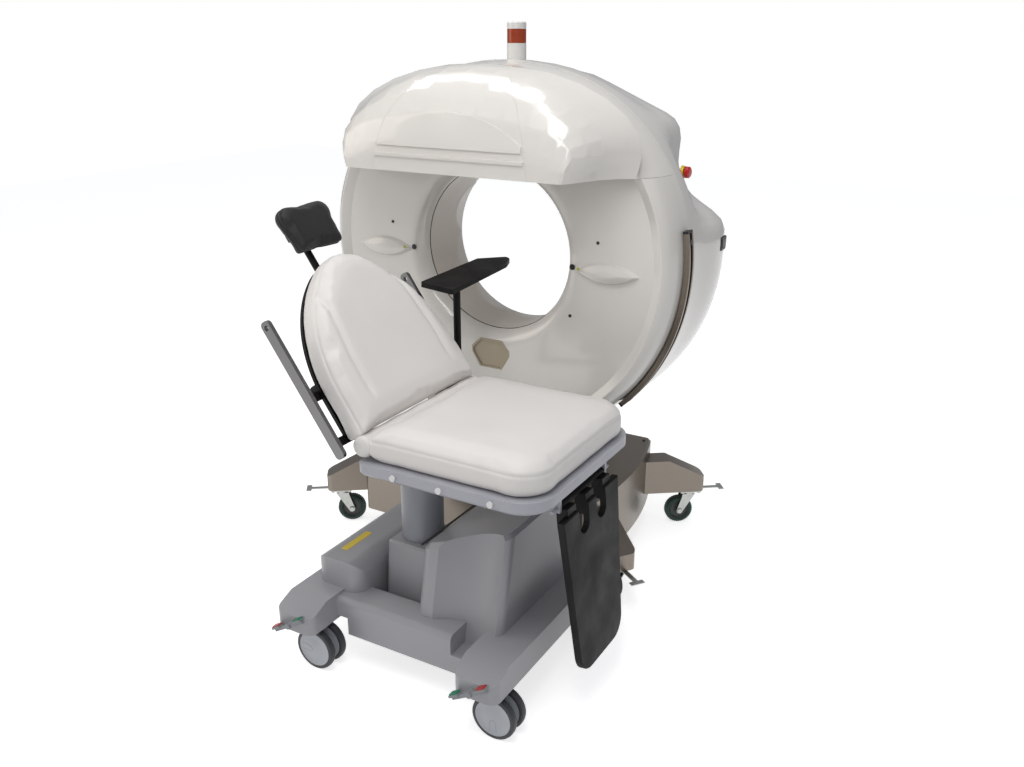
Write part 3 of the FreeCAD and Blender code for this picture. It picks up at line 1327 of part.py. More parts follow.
# inner tube with its flared head under the tray
tray_low = val("tray_low")
head_low = tray_low - seat - val("column_head_tall")
tube = Part.makeCylinder(tube_r, head_low - val("column_low") + 1,
                         Vector(col_x, chair_y, val("column_low")))
head_x = col_x + 60
head_half, head_high = val("column_head_wide") / 2, tray_low - seat
head = solid_band(rounded_box(col_x - tube_r - 4, head_x + head_half + 16,
                              chair_y - head_half, chair_y + head_half, 50),
                  [(0, head_high), (0, head_high - 18), (38, head_low)], "XY")
feature("column_tube", tube.fuse(head))

# lock lever on the head
lever_at = Vector(head_x + 30, chair_y - val("column_head_wide") / 2 - seat, tray_low - 16)
lever_run = Vector(0.35, -0.9, -0.25).normalize()
hub = Part.makeCylinder(9, 10, lever_at, -Y)
rod = Part.makeCylinder(val("lever_radius"), val("lever_long"), lever_at - Y * 5, lever_run)
grip = Part.makeCylinder(val("lever_radius") + 3, 26,
                         lever_at - Y * 5 + lever_run * (val("lever_long") - 6), lever_run)
feature("column_lever", hub.fuse(rod).fuse(grip).cut(
    block(0, 500, lever_at.y, 0, 0, 900)))

# ------------------------------------------------------------ chair: seat

seat_half = val("seat_wide") / 2
tray_high = tray_low + val("tray_tall")
body = new_body("seat_tray", (0, S.chair_y, 0))
sk = sketch(body, "XY_Plane", S.tray_low)
rectangle(sk, S.seat_rear, -S.seat_wide / 2, S.seat_front, S.seat_wide / 2)
pad(body, sk, S.tray_tall)
soften(body, S.tray_corner, lambda e: along(e, Z) and e.CenterOfMass.x > val("seat_front") - 1)
soften(body, 22, lambda e: along(e, Z) and e.CenterOfMass.x < val("seat_rear") + 1)
soften(body, 8, lambda e: abs(e.CenterOfMass.z - tray_low) < 0.01, "Chamfer")
lug_in = S.hinge_half - S.knuckle_long - S.knuckle_gap
for side in (-1, 1):                       # lugs and pins of the back hinge
    sk = sketch(body, "XZ_Plane", side * lug_in)
    outline(sk, [(S.hinge_x - 11, S.hinge_z - 11), (S.seat_rear + 12, S.tray_low + 6),
                 (S.seat_rear + 12, S.tray_low + S.tray_tall), (S.hinge_x - 11, S.hinge_z + 11)])
    pad(body, sk, 12, reverse=side > 0)
    sk = sketch(body, "XZ_Plane", side * (lug_in - 2))
    circle(sk, S.hinge_x, S.hinge_z, S.hinge_pin)
    pad(body, sk, S.knuckle_long + S.knuckle_gap + 4, reverse=side < 0)
for side in (-1, 1):                       # lugs and pins of the leg board's hinge
    sk = sketch(body, "XZ_Plane", side * S.leg_board_wide * 0.42)
    outline(sk, [(S.leg_hinge_x - 12, S.leg_hinge_z - 10), (S.leg_hinge_x + 9, S.leg_hinge_z - 10),
                 (S.leg_hinge_x + 9, S.tray_low + 1), (S.leg_hinge_x - 30, S.tray_low + 1)])
    pad(body, sk, 10, reverse=side > 0)
    sk = sketch(body, "XZ_Plane", side * (S.leg_board_wide * 0.42 - 2))
    circle(sk, S.leg_hinge_x, S.leg_hinge_z, S.leg_hinge_radius * 0.55)
    pad(body, sk, 26, reverse=side < 0)

caps = []
for x in (249, 385, 530):
    caps.append(Part.makeCylinder(val("bolt_cap_radius"), 5,
                Vector(x, chair_y - seat_half - seat, tray_low + val("tray_tall") / 2), -Y))
group("tray_bolt_caps", caps)

cushion_low = tray_high + val("soft_gap")
c_x0, c_x1 = val("cushion_rear"), val("seat_front") + 4
draw, tall, up = val("cushion_draw"), val("cushion_tall"), val("cushion_crown")


cushion_top = cushion_low + tall
cushion_path = rounded_box(c_x0, c_x1, chair_y - seat_half, chair_y + seat_half,
                           val("cushion_corner"))
feature("seat_cushion", solid_band(cushion_path, [
    (draw, cushion_low), (0, cushion_low + 14), (0, cushion_top - 16),
    (draw * 0.5, cushion_top - 5), (draw * 2, cushion_top),
    (draw * 8, cushion_top + up)], "XY"))

# ------------------------------------------------------------ chair: back

# Drawn upright about the hinge line, with S up the back and N to its front,
# then leaned back about the hinge.
ON_BACK = ((S.hinge_x, S.chair_y, S.hinge_z), -S.recline, Y)
b_half, b_long, b_low = val("back_half"), val("back_long"), val("back_below")
side_back, spring = val("back_side_round"), val("back_straight")
back_cx = b_half - side_back
arch_tall = b_long - spring                # top arc tangent to both side arcs
crown_back = (side_back ** 2 - back_cx ** 2 - arch_tall ** 2) / (2 * (side_back - arch_tall))
back_join = math.atan2(b_long - crown_back - spring, -back_cx)


def back_arc(cy, cz, r, a0, a1, n):
    def at(a):
        return Vector(n, cy + r * math.cos(a), cz + r * math.sin(a))
    return Part.Arc(at(a0), at((a0 + a1) / 2), at(a1)).toShape()


def back_wire(inset, n):
    """Bullet-shaped outline of the back at distance n in front of the hinge."""
    join = back_join
    arcs = [back_arc(back_cx, spring, side_back - inset, 0, join, n),
            back_arc(0, b_long - crown_back, crown_back - inset, join, math.pi - join, n),
            back_arc(-back_cx, spring, side_back - inset, math.pi - join, math.pi, n)]
    wide, low = b_half - inset, b_low + inset
    a, b = Vector(n, -wide, spring), Vector(n, -wide, low)
    c, d = Vector(n, wide, low), Vector(n, wide, spring)
    return Part.Wire(arcs + [Part.makeLine(a, b), Part.makeLine(b, c), Part.makeLine(c, d)])


thick, b_crown = val("back_thick"), val("back_crown")
n_low = val("back_gap")
feature("back_cushion", loft([
    back_wire(draw, n_low), back_wire(0, n_low + 14), back_wire(0, n_low + thick - 18),
    back_wire(draw * 0.6, n_low + thick - 5), back_wire(draw * 2, n_low + thick),
    back_wire(draw * 7, n_low + thick + b_crown)], ruled=True), *ON_BACK)

plate_n0 = n_low - seat - val("frame_plate")
plate = loft([back_wire(val("frame_margin"), plate_n0),
              back_wire(val("frame_margin"), n_low - seat)], ruled=True)
knuckle_r, pin_r = val("knuckle_radius"), val("hinge_pin")
parts = plate
for side in (-1, 1):
    y1 = side * val("hinge_half")
    y0 = y1 - side * val("knuckle_long")
    low_y, high_y = min(y0, y1), max(y0, y1)
    knuckle = Part.makeCylinder(knuckle_r, high_y - low_y, Vector(0, low_y, 0), Y)
    web = block(plate_n0, plate_n0 + knuckle_r, low_y, high_y, 0, 90)
    parts = parts.fuse(knuckle).fuse(web.cut(block(n_low - seat, 60, -400, 400, -20, 200)))
for side in (-1, 1):
    y0 = min(side * (val("hinge_half") + 10), side * (val("hinge_half") - val("knuckle_long") - 10))
    parts = parts.cut(Part.makeCylinder(pin_r + val("knuckle_gap"), val("knuckle_long") + 20,
                                        Vector(0, y0, 0), Y))

# guide for the headrest post behind the plate, and the tilt knob
post_r, fit = val("post_radius"), val("knuckle_gap")
post_n = plate_n0 - post_r - 6
guide = block(post_n - post_r - 6, plate_n0, -26, 26, val("post_low") - 60, val("post_low") + 60)
parts = parts.fuse(guide)
knob_s = 205
knob = Part.makeCylinder(val("knob_radius"), 34, Vector(plate_n0 - 34, -b_half + 52, knob_s), X)
parts = parts.fuse(knob)
rail_out_y = b_half + val("side_rail_out")
rail_n = plate_n0 + 8
rail_s = 20, 20 + val("side_rail_long")
stays = []
for side in (-1, 1):
    for s in (60, 190):
        inner, outer = b_half - 60, rail_out_y - seat
        y0, y1 = sorted((side * inner, side * outer))
        stays.append(block(plate_n0 - 8, plate_n0, y0, y1, s - 12, s + 12))
for stay in stays:
    parts = parts.fuse(stay)
parts = parts.cut(Part.makeCylinder(post_r + fit, 400, Vector(post_n, 0, val("post_low") - 200), Z))
feature("back_frame", parts, *ON_BACK)

rails = []
for side in (-1, 1):
    y0, y1 = sorted((side * rail_out_y, side * (rail_out_y + val("side_rail_wide"))))
    half_tall = val("side_rail_tall") / 2
    bar = block(rail_n - half_tall, rail_n + half_tall, y0, y1, *rail_s)
    bar = rounded(bar, 12, lambda e: along(e, Y))
    bar = bar.cut(Part.makeCylinder(7, 60, Vector(rail_n, y0 - 20, rail_s[1] - 18), Y))
    rails.append(bar)
group("back_side_rails", rails, *ON_BACK)

# headrest: post in its guide, pad hinged on the post's end
pad_s = val("post_high")
post = Part.makeCylinder(post_r, pad_s - val("post_low") + 80,
                         Vector(post_n, 0, val("post_low") - 80))
post = post.fuse(Part.makeCylinder(9, 60, Vector(post_n, -30, pad_s), Y))
feature("headrest_post", post, *ON_BACK)
pad_half, pad_t = val("pad_wide") / 2, val("pad_thick")
pad_low, pad_high = pad_s - val("pad_tall") / 2, pad_s + val("pad_tall") / 2
pad_n0 = post_n + post_r + 22


def pad_wire(inset, n):
    """Headrest outline: rounded top corners, slightly narrower at the foot."""
    r = 34
    w, lo, hi = pad_half - inset, pad_low + inset, pad_high - inset
    foot = w - 14
    k = r * (1 - math.sqrt(0.5))
    p = [Vector(n, foot, lo), Vector(n, w, hi - r), Vector(n, w - r, hi),
         Vector(n, -w + r, hi), Vector(n, -w, hi - r), Vector(n, -foot, lo)]
    mids = Vector(n, w - k, hi - k), Vector(n, -w + k, hi - k)
    return Part.Wire([Part.makeLine(p[0], p[1]), Part.Arc(p[1], mids[0], p[2]).toShape(),
                      Part.makeLine(p[2], p[3]), Part.Arc(p[3], mids[1], p[4]).toShape(),
                      Part.makeLine(p[4], p[5]), Part.makeLine(p[5], p[0])])


head_pad = loft([pad_wire(4, pad_n0), pad_wire(0, pad_n0 + 8), pad_wire(0, pad_n0 + pad_t - 10),
            pad_wire(5, pad_n0 + pad_t - 2), pad_wire(16, pad_n0 + pad_t)], ruled=True)
for side in (-1, 1):
    y0, y1 = sorted((side * (30 + seat), side * 38))
    ear = block(post_n - 12, pad_n0 + 1, y0, y1, pad_s - 14, pad_s + 14)
    head_pad = head_pad.fuse(ear)
feature("headrest_pad", head_pad, *ON_BACK)

# ------------------------------------------------------------ chair: arm board

near_x, far_x, near_half = val("board_near_x"), val("board_far_x"), val("board_wide") / 2
far_half, tip = near_half - val("board_taper") / 2, val("board_tip")
board_z = val("board_top") - val("board_thick")
y0, y1 = val("board_near"), val("board_far")
board_plan = [Vector(x, y, board_z) for x, y in (
    (near_x - near_half, y0), (near_x + near_half, y0 - val("board_slant")),
    (far_x + far_half, y1 - 1.1 * tip), (far_x + 0.6 * far_half, y1 - 0.25 * tip),
    (far_x + 0.2 * far_half, y1), (far_x - far_half, y1 - tip))]
board = upright(Part.Face(Part.makePolygon(board_plan + board_plan[:1])).extrude(
    Vector(0, 0, val("board_thick"))))
board = rounded(board, 8, lambda e: along(e, Z))
feature("arm_board", board)

post_x, post_y, bar_r = val("post_crank_x"), val("board_post_y"), val("post_bar")
bar_z = tray_low - seat - bar_r
start_x = val("seat_rear") + 100
upright_bar = Part.makeCylinder(bar_r, board_z - seat - bar_z, Vector(post_x, post_y, bar_z))
cross = Part.makeCylinder(bar_r, start_x - post_x, Vector(post_x, post_y, bar_z), X)
inward = Part.makeCylinder(bar_r, 120, Vector(start_x, post_y, bar_z), -Y)
joints = [Part.makeSphere(bar_r, Vector(post_x, post_y, bar_z)),
          Part.makeSphere(bar_r, Vector(start_x, post_y, bar_z))]
foot = block(post_x - 30, post_x + 30, post_y - 24, post_y + 24, board_z - seat - 8,
             board_z - seat)
clamp = block(start_x - 30, start_x + 30, post_y - 130, post_y - 80, bar_z - 6, tray_low - seat)
arm_post = upright_bar
for piece in (cross, inward, foot, clamp, *joints):
    arm_post = arm_post.fuse(piece)
feature("arm_board_post", arm_post)

# ------------------------------------------------------------ chair: leg board

lb_half, lb_long, lb_t = (val("leg_board_wide") / 2, val("leg_board_long"),
                          val("leg_board_thick"))
hinge_r = val("leg_hinge_radius")
lug_y = lb_half * 0.84


def leg_board_face(x):
    """Outline hanging below the hinge, narrower at its foot."""
    top, foot, low, r = -24, val("leg_board_foot"), -lb_long, 60
    side = math.atan2(lb_half - foot, lb_long + top)
    reach_in = r * math.tan((QUARTER - side) / 2)

    def corner(sign):
        on_side = Vector(x, sign * (foot + reach_in * math.sin(side)),
                         low + reach_in * math.cos(side))
        on_foot = Vector(x, sign * (foot - reach_in), low)
        centre = Vector(x, sign * (foot - reach_in), low + r)
        a = (QUARTER + side) / 2
        middle = centre + Vector(0, sign * r * math.sin(a), -r * math.cos(a))
        return on_side, middle, on_foot

    left, right = corner(-1), corner(1)
    ends = Vector(x, -lb_half, top), Vector(x, lb_half, top)
    return Part.Face(Part.Wire([
        Part.makeLine(ends[0], left[0]), Part.Arc(*left).toShape(),
        Part.makeLine(left[2], right[2]), Part.Arc(*reversed(right)).toShape(),
        Part.makeLine(right[0], ends[1]), Part.makeLine(ends[1], ends[0])]))


lb_x = hinge_r + 4
leg_plate = upright(leg_board_face(lb_x).extrude(Vector(lb_t, 0, 0)))
leg_plate = rounded(leg_plate, 5, lambda e: abs(e.CenterOfMass.x - lb_x - lb_t) < 0.01)
leg_pieces = leg_plate
prong_y, prong_half = lb_half * 0.62, 22
notch_r, notch_z = val("leg_notch_wide") / 2, -val("leg_notch_deep") + val("leg_notch_wide") / 2
for sign in (-1, 1):                       # U notches between the three prongs
    y = sign * (prong_y / 2)
    notch = block(-50, 90, y - notch_r, y + notch_r, notch_z, 20)
    notch = notch.fuse(Part.makeCylinder(notch_r, 140, Vector(-50, y, notch_z), X))
    leg_pieces = leg_pieces.cut(notch)
for y in (-prong_y, 0, prong_y):
    leg_pieces = leg_pieces.fuse(block(-hinge_r, lb_x + lb_t * 0.6, y - prong_half,
                                       y + prong_half, -60, -4))
tube_half = lug_y - 10 - seat
leg_pieces = leg_pieces.fuse(Part.makeCylinder(hinge_r, 2 * tube_half, Vector(0, -tube_half, 0), Y))
leg_pieces = leg_pieces.cut(Part.makeCylinder(hinge_r * 0.55 + fit, 2 * lb_half,
                                              Vector(0, -lb_half, 0), Y))
feature("leg_board", leg_pieces, (S.leg_hinge_x, S.chair_y, S.leg_hinge_z),
        -S.leg_board_lean, Y)

# ------------------------------------------------------------ chair: castors

SEATS = {"front_left": (left_x, near_y), "front_right": (right_x, near_y),
         "rear_left": (left_x, far_y), "rear_right": (right_x, far_y)}
twin_r, twin_w, twin_s = S.twin_radius, S.twin_wide, S.twin_space
for corner, (cx, cy) in SEATS.items():
    body = new_body(f"chair_fork_{corner}", (cx, cy, 0))
    sk = sketch(body, "XY_Plane", S.leg_low - S.seat_gap)
    circle(sk, 0, 0, S.stem_radius)
    pad(body, sk, S.leg_low - S.seat_gap - twin_r - 8, reverse=True)
    sk = sketch(body, "XZ_Plane", -twin_s / 2 + 1)
    outline(sk, [(-16, twin_r - 10), (S.twin_trail + 12, twin_r - 10),
                 (S.twin_trail + 12, twin_r + 12), (14, twin_r + 44), (-16, twin_r + 44)])
    pad(body, sk, twin_s - 2)
    sk = sketch(body, "XZ_Plane", -twin_s / 2 - twin_w - 1)
    circle(sk, S.twin_trail, twin_r, S.twin_bore)
    pad(body, sk, twin_s + twin_w * 2 + 2)
    wheels = []
    for side in (-1, 1):
        y0 = side * (twin_s.value / 2 + twin_w.value / 2) - twin_w.value / 2
        wheel = Part.makeCylinder(twin_r.value, twin_w.value, Vector(0, y0, 0), Y)
        wheel = wheel.cut(Part.makeCylinder(val("twin_bore") + fit, 200, Vector(0, -100, 0), Y))
        wheel.Placement = Placement(Vector(cx + val("twin_trail"), cy, twin_r.value), Rotation())
        wheels.append(wheel)
    group(f"chair_wheels_{corner}", wheels)

# brake rockers on the hexagon bars at the legs' near ends
rocker, half_rocker, pedal_z = math.radians(val("rocker_tilt")), val("rocker_long") / 2, leg_low + 28
leg_end = near_y - val("leg_over")
for name, cx in (("left", left_x), ("right", right_x)):
    hub = Part.makeCylinder(val("pedal_bar_radius"), 24, Vector(0, -seat, 0), -Y)
    rod = block(-half_rocker, half_rocker, -20, -12, -5, 5)
    piece = hub.fuse(rod)
    for side in (-1, 1):
        pad_x = side * (half_rocker - 13)
        piece = piece.fuse(block(pad_x - 15, pad_x + 15, -27, -5, 4, 10))
    feature(f"chair_pedal_{name}", piece, (cx, leg_end, pedal_z), -S.rocker_tilt, Y)
doc.recompute()
broken = [item.Label for item in doc.Objects if {"Invalid", "Error"} & set(item.State)]
broken += [item.Label for item in PARTS if item.Shape.isNull() or not item.Shape.isValid()]
if broken:
    raise RuntimeError(f"not built: {broken}")
os.makedirs("parts", exist_ok=True)
for item in PARTS:
    item.Shape.exportStep(f"parts/{item.Label}.step")
print(f"{len(PARTS)} sub-parts, {sum(len(item.Shape.Solids) for item in PARTS)} solids")
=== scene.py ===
# %% [markdown]
# # A ring CT scanner and its patient chair
# This lesson dresses a finished engineering model of a small CT scanner: a
# ring-shaped gantry on four braked castors, and the powered chair that rolls
# a patient up to its bore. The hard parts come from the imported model. What
# Blender adds is finish: gloss covers, brushed steel, vinyl cushions, rubber
# and the small repeated parts.

# %% Load the model
import json
import math

import bmesh
import bpy
from mathutils import Matrix, Vector
from mathutils.bvhtree import BVHTree


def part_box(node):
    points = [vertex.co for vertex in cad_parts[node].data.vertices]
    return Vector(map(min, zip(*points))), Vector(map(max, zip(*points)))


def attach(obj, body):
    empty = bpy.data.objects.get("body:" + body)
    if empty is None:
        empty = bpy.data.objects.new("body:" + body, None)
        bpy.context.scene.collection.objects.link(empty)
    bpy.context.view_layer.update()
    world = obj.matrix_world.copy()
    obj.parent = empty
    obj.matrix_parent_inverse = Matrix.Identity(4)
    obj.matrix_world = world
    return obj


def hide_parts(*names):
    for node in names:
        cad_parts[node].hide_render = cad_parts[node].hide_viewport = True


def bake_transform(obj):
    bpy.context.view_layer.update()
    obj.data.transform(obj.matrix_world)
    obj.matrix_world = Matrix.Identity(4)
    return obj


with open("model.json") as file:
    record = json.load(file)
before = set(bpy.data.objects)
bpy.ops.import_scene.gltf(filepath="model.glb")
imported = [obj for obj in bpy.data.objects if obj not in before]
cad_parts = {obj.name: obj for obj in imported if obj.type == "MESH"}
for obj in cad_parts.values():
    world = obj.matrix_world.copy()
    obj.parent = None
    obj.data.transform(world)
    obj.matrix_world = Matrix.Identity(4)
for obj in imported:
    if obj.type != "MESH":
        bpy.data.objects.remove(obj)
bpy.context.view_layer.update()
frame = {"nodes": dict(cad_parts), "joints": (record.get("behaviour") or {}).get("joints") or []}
nodes = frame["nodes"]
FLOOR = -1.03

# %% [markdown]
# ## The camera
# The photograph was taken from the chair's side, a little above the top of
# the ring and 30 degrees to its right. The camera stands there, looks along
# the same line and has the same angle of view, so every edge can be compared
# with the picture. Its place could be found by eye; here it was worked out
# from the picture's vanishing points, which give the lens as well.

# %% Camera
PHOTO_WIDE = 1024                       # pixels
FOCAL_PIXELS = 973.0
SENSOR_WIDE = 36                        # millimetres
EYE = Vector((1.59, -2.775, 1.70 + FLOOR))
EYE_TURN = math.radians(30)
EYE_DOWN = math.radians(20.07)

lens = bpy.data.cameras.new("photo_camera")
lens.sensor_width = SENSOR_WIDE
lens.lens = SENSOR_WIDE * FOCAL_PIXELS / PHOTO_WIDE
camera = bpy.data.objects.new("photo_camera", lens)
camera.location = EYE
camera.rotation_euler = (math.pi / 2 - EYE_DOWN, 0, EYE_TURN)
bpy.context.collection.objects.link(camera)
bpy.context.scene.camera = camera
bpy.context.scene.view_settings.view_transform = "Standard"
print("lens in mm:", round(lens.lens, 2))

# %% [markdown]
# ## Colours and nodes
# Colours are written as sRGB hex values, as in any paint chart, and one
# function turns them into the linear values that the renderer adds up. One
# more function adds a shader node, with its settings and its inputs.


# %% Colour and node helpers
def linear(code):
    """sRGB hex colour as linear RGBA."""
    parts = [int(code[i:i + 2], 16) / 255 for i in (1, 3, 5)]
    return [c / 12.92 if c <= 0.04045 else ((c + 0.055) / 1.055) ** 2.4 for c in parts] + [1]


def add(tree, kind, inputs=(), **settings):
    """Adds one node; an input is a value, or a socket to link from."""
    node = tree.nodes.new(kind)
    for name, value in settings.items():
        setattr(node, name, value)
    for socket, value in dict(inputs).items():
        if isinstance(value, bpy.types.NodeSocket):
            tree.links.new(value, node.inputs[socket])
        else:
            node.inputs[socket].default_value = value
    return node


# %% [markdown]
# ## Floor, backdrop and light
# The machine stands on a plain pale floor in a white room. The floor shows
# white to the camera and in reflections, and still keeps the shadow. Long
# soft lamps overhead leave the streaks of light that a gloss cover shows.

# %% Floor finish
def either(tree, one, other):
    """Socket that is 1 where at least one of two sockets is 1."""
    return add(tree, "ShaderNodeMath", {0: one, 1: other}, operation="MAXIMUM").outputs[0]


def stage_white(name, glow):
    """Matt white that adds some light of its own where it is seen."""
    material = bpy.data.materials.new(name)
    material.use_nodes = True
    tree = material.node_tree
    tree.nodes.clear()
    rays = add(tree, "ShaderNodeLightPath").outputs
    seen = either(tree, either(tree, rays["Is Camera Ray"], rays["Is Transmission Ray"]),
                  rays["Is Glossy Ray"])
    lit = add(tree, "ShaderNodeMath", {0: seen, 1: glow}, operation="MULTIPLY")
    paint = add(tree, "ShaderNodeBsdfDiffuse", {"Color": linear("#f2f2f2")})
    light = add(tree, "ShaderNodeEmission", {"Strength": lit.outputs[0]})
    both = add(tree, "ShaderNodeAddShader", {0: paint.outputs[0], 1: light.outputs[0]})
    add(tree, "ShaderNodeOutputMaterial", {"Surface": both.outputs[0]})
    return material


# %% Floor
FLOOR_HALF = 9                          # metres
FLOOR_GLOW = 0.66                       # a strength of 1 would be pure white by itself

floor_mesh = bpy.data.meshes.new("studio_floor")
floor_mesh.from_pydata([(x * FLOOR_HALF, y * FLOOR_HALF, FLOOR)
                        for x, y in ((-1, -1), (1, -1), (1, 1), (-1, 1))], [], [(0, 1, 2, 3)])
floor_mesh.materials.append(stage_white("studio_floor", FLOOR_GLOW))
studio_floor = bpy.data.objects.new("studio_floor", floor_mesh)
bpy.context.collection.objects.link(studio_floor)
print("floor at", FLOOR, "m from the ring's middle")

# %% White room
ROOM_LIGHT = 0.46                       # what the walls give the object
world = bpy.data.worlds.new("white_room")
bpy.context.scene.world = world
world.use_nodes = True
sky = world.node_tree
sky.nodes.clear()
rays = add(sky, "ShaderNodeLightPath").outputs
seen = either(sky, rays["Is Camera Ray"], rays["Is Transmission Ray"])
room = add(sky, "ShaderNodeBackground", {"Color": linear("#e4e6ea"), "Strength": ROOM_LIGHT})
white = add(sky, "ShaderNodeBackground", {"Color": (1, 1, 1, 1), "Strength": 1.0})
mixed = add(sky, "ShaderNodeMixShader", {0: seen, 1: room.outputs[0], 2: white.outputs[0]})
add(sky, "ShaderNodeOutputWorld", {"Surface": mixed.outputs[0]})
print("room light:", ROOM_LIGHT)


# %% Lamps
def lamp(name, place, target, size, watts, colour="#ffffff"):
    """Soft rectangular lamp at place, aimed at target."""
    data = bpy.data.lights.new(name, "AREA")
    data.shape = "RECTANGLE"
    data.size, data.size_y = size
    data.energy = watts
    data.color = linear(colour)[:3]
    item = bpy.data.objects.new(name, data)
    item.location = place
    item.rotation_euler = (Vector(target) - Vector(place)).to_track_quat("-Z", "Y").to_euler()
    bpy.context.collection.objects.link(item)


lamp("ceiling_strip_near", (0.9, -1.7, 2.4), (0.1, -0.2, 0), (0.45, 2.6), 24)
lamp("ceiling_strip_mid", (0.2, -1.2, 2.5), (0, 0, 0), (0.30, 2.6), 18)
lamp("ceiling_strip_far", (-0.9, 0.3, 2.5), (0, 0, 0), (0.45, 2.6), 14)
lamp("window_left", (-3.2, -2.2, 1.2), (0, -0.4, -0.2), (2.2, 2.2), 30, "#fff6ea")
lamp("front_fill", (1.5, -4.6, 1.6), (0, -0.4, -0.4), (2.6, 1.6), 13)
print("lamps:", [item.name for item in bpy.data.lights])

# %% [markdown]
# ## Materials
# Each finish starts from what the real thing is made of and how its surface
# came about. Colour that drifts a little, and a fine relief with the size
# that the real grain has, keep a surface from looking like one flat colour.


# %% One recipe for plain finishes
NOISE_LOW, NOISE_HIGH = 0.3, 0.7        # a noise texture seldom leaves this range
ROUGH_SPREAD = 0.15                     # how far the roughness drifts, as a share


def coat(name, colour, rough, metal=0.0, grain_mm=1.0, grain_deep_mm=0.02, patch_mm=90.0,
         patch=0.04, stretch=(1, 1, 1), **sockets):
    """Surface with a fine relief grain_mm wide and slow drifts of tone patch_mm wide."""
    material = bpy.data.materials.new(name)
    material.use_nodes = True
    tree = material.node_tree
    shader = tree.nodes["Principled BSDF"]
    place = add(tree, "ShaderNodeTexCoord")
    run = add(tree, "ShaderNodeMapping", {"Vector": place.outputs["Object"], "Scale": stretch})
    grain = add(tree, "ShaderNodeTexNoise", {"Vector": run.outputs[0], "Scale": 1000 / grain_mm,
                                             "Detail": 3.0, "Roughness": 0.55})
    relief = add(tree, "ShaderNodeBump", {"Height": grain.outputs[0], "Strength": 1.0,
                                          "Distance": grain_deep_mm / 1000})
    drift = add(tree, "ShaderNodeTexNoise", {"Vector": place.outputs["Object"],
                                             "Scale": 1000 / patch_mm, "Detail": 4.0})
    tone = add(tree, "ShaderNodeMapRange", {0: drift.outputs[0], 1: NOISE_LOW, 2: NOISE_HIGH,
                                            3: 1 - patch, 4: 1 + patch})
    shade = add(tree, "ShaderNodeHueSaturation", {"Color": linear(colour),
                                                  "Value": tone.outputs[0]})
    rub = add(tree, "ShaderNodeMapRange", {0: drift.outputs[0], 1: NOISE_LOW, 2: NOISE_HIGH,
                                           3: rough * (1 - ROUGH_SPREAD),
                                           4: rough * (1 + ROUGH_SPREAD)})
    tree.links.new(shade.outputs[0], shader.inputs["Base Color"])
    tree.links.new(rub.outputs[0], shader.inputs["Roughness"])
    tree.links.new(relief.outputs[0], shader.inputs["Normal"])
    shader.inputs["Metallic"].default_value = metal
    for socket, value in sockets.items():
        shader.inputs[socket.replace("_", " ")].default_value = value
    return material


# %% [markdown]
# ### Covers
# The ring's shells are hand-laid fibreglass with a sprayed gloss gelcoat. It
# is warm white, mirrors the lamps sharply, and its spray leaves a shallow
# orange peel some millimetres wide.

# %% Cover finishes
gelcoat = coat("gloss_gelcoat_warm_white", "#e2ded8", 0.22, grain_mm=5.0, grain_deep_mm=0.015,
               patch_mm=260, patch=0.012, Coat_Weight=0.6, Coat_Roughness=0.08)
liner_plastic = coat("thermoformed_liner_warm_white", "#d6cec4", 0.38, grain_mm=0.8,
                     grain_deep_mm=0.02, patch_mm=150, patch=0.02)
dock_plastic = coat("satin_beige_plate", "#b3a68f", 0.42, grain_mm=0.8, grain_deep_mm=0.02)
lamp_plastic = coat("moulded_pale_grey_abs", "#dcdad6", 0.35, grain_mm=0.7, grain_deep_mm=0.012)
print("cover finish:", gelcoat.name)

# %% [markdown]
# ### Metals
# The base is folded stainless steel, brushed along its length; the rails are
# extruded aluminium with a bronze anodised skin; forks and pedals are
# zinc-plated steel. A metal has no colour of its own beyond its tint, so the
# brush lines and the changing roughness are what tell them apart.

# %% Metal finishes
base_steel = coat("brushed_stainless_base", "#857d74", 0.34, metal=1.0, grain_mm=0.9,
                  grain_deep_mm=0.012, patch_mm=200, patch=0.05, stretch=(0.03, 1, 1))
rail_bronze = coat("bronze_anodised_aluminium", "#81776d", 0.36, metal=1.0, grain_mm=0.6,
                   grain_deep_mm=0.008, patch_mm=120, patch=0.04)
zinc = coat("zinc_plated_steel", "#b9bbb7", 0.3, metal=1.0, grain_mm=1.4, grain_deep_mm=0.02,
            patch_mm=18, patch=0.09)
rail_steel = coat("brushed_stainless_rail", "#7d7c7c", 0.32, metal=1.0, grain_mm=0.8,
                  grain_deep_mm=0.01, patch_mm=90, patch=0.05, stretch=(1, 1, 0.05))
screw_steel = coat("black_oxide_screw", "#4a4a4a", 0.4, metal=1.0, grain_mm=0.6)
frame_iron = coat("painted_cast_frame", "#a8a7a3", 0.45, grain_mm=1.6, grain_deep_mm=0.06)
rotor_alloy = coat("machined_aluminium_rotor", "#b4b6b8", 0.35, metal=1.0, grain_mm=0.7)
tube_paint = coat("grey_enamel_tube_housing", "#7f8286", 0.35, grain_mm=1.2)
detector_paint = coat("black_enamel_detector", "#26272a", 0.4, grain_mm=1.2)
column_paint = coat("powder_coated_column_grey", "#8f9198", 0.4, grain_mm=0.9,
                    grain_deep_mm=0.03)
pedal_steel = coat("powder_coated_pedal_bar", "#8a8c90", 0.42, grain_mm=0.9)
print("materials so far:", len(bpy.data.materials))

# %% [markdown]
# ### Plastics, rubber and vinyl
# The chair's base is textured ABS, blue-grey, with a spark-eroded grain just
# under a millimetre wide, which breaks its highlights up. The boards are
# black laminate, nearly matt, and the wheels are rubber or polyurethane
# tyres on nylon hubs.

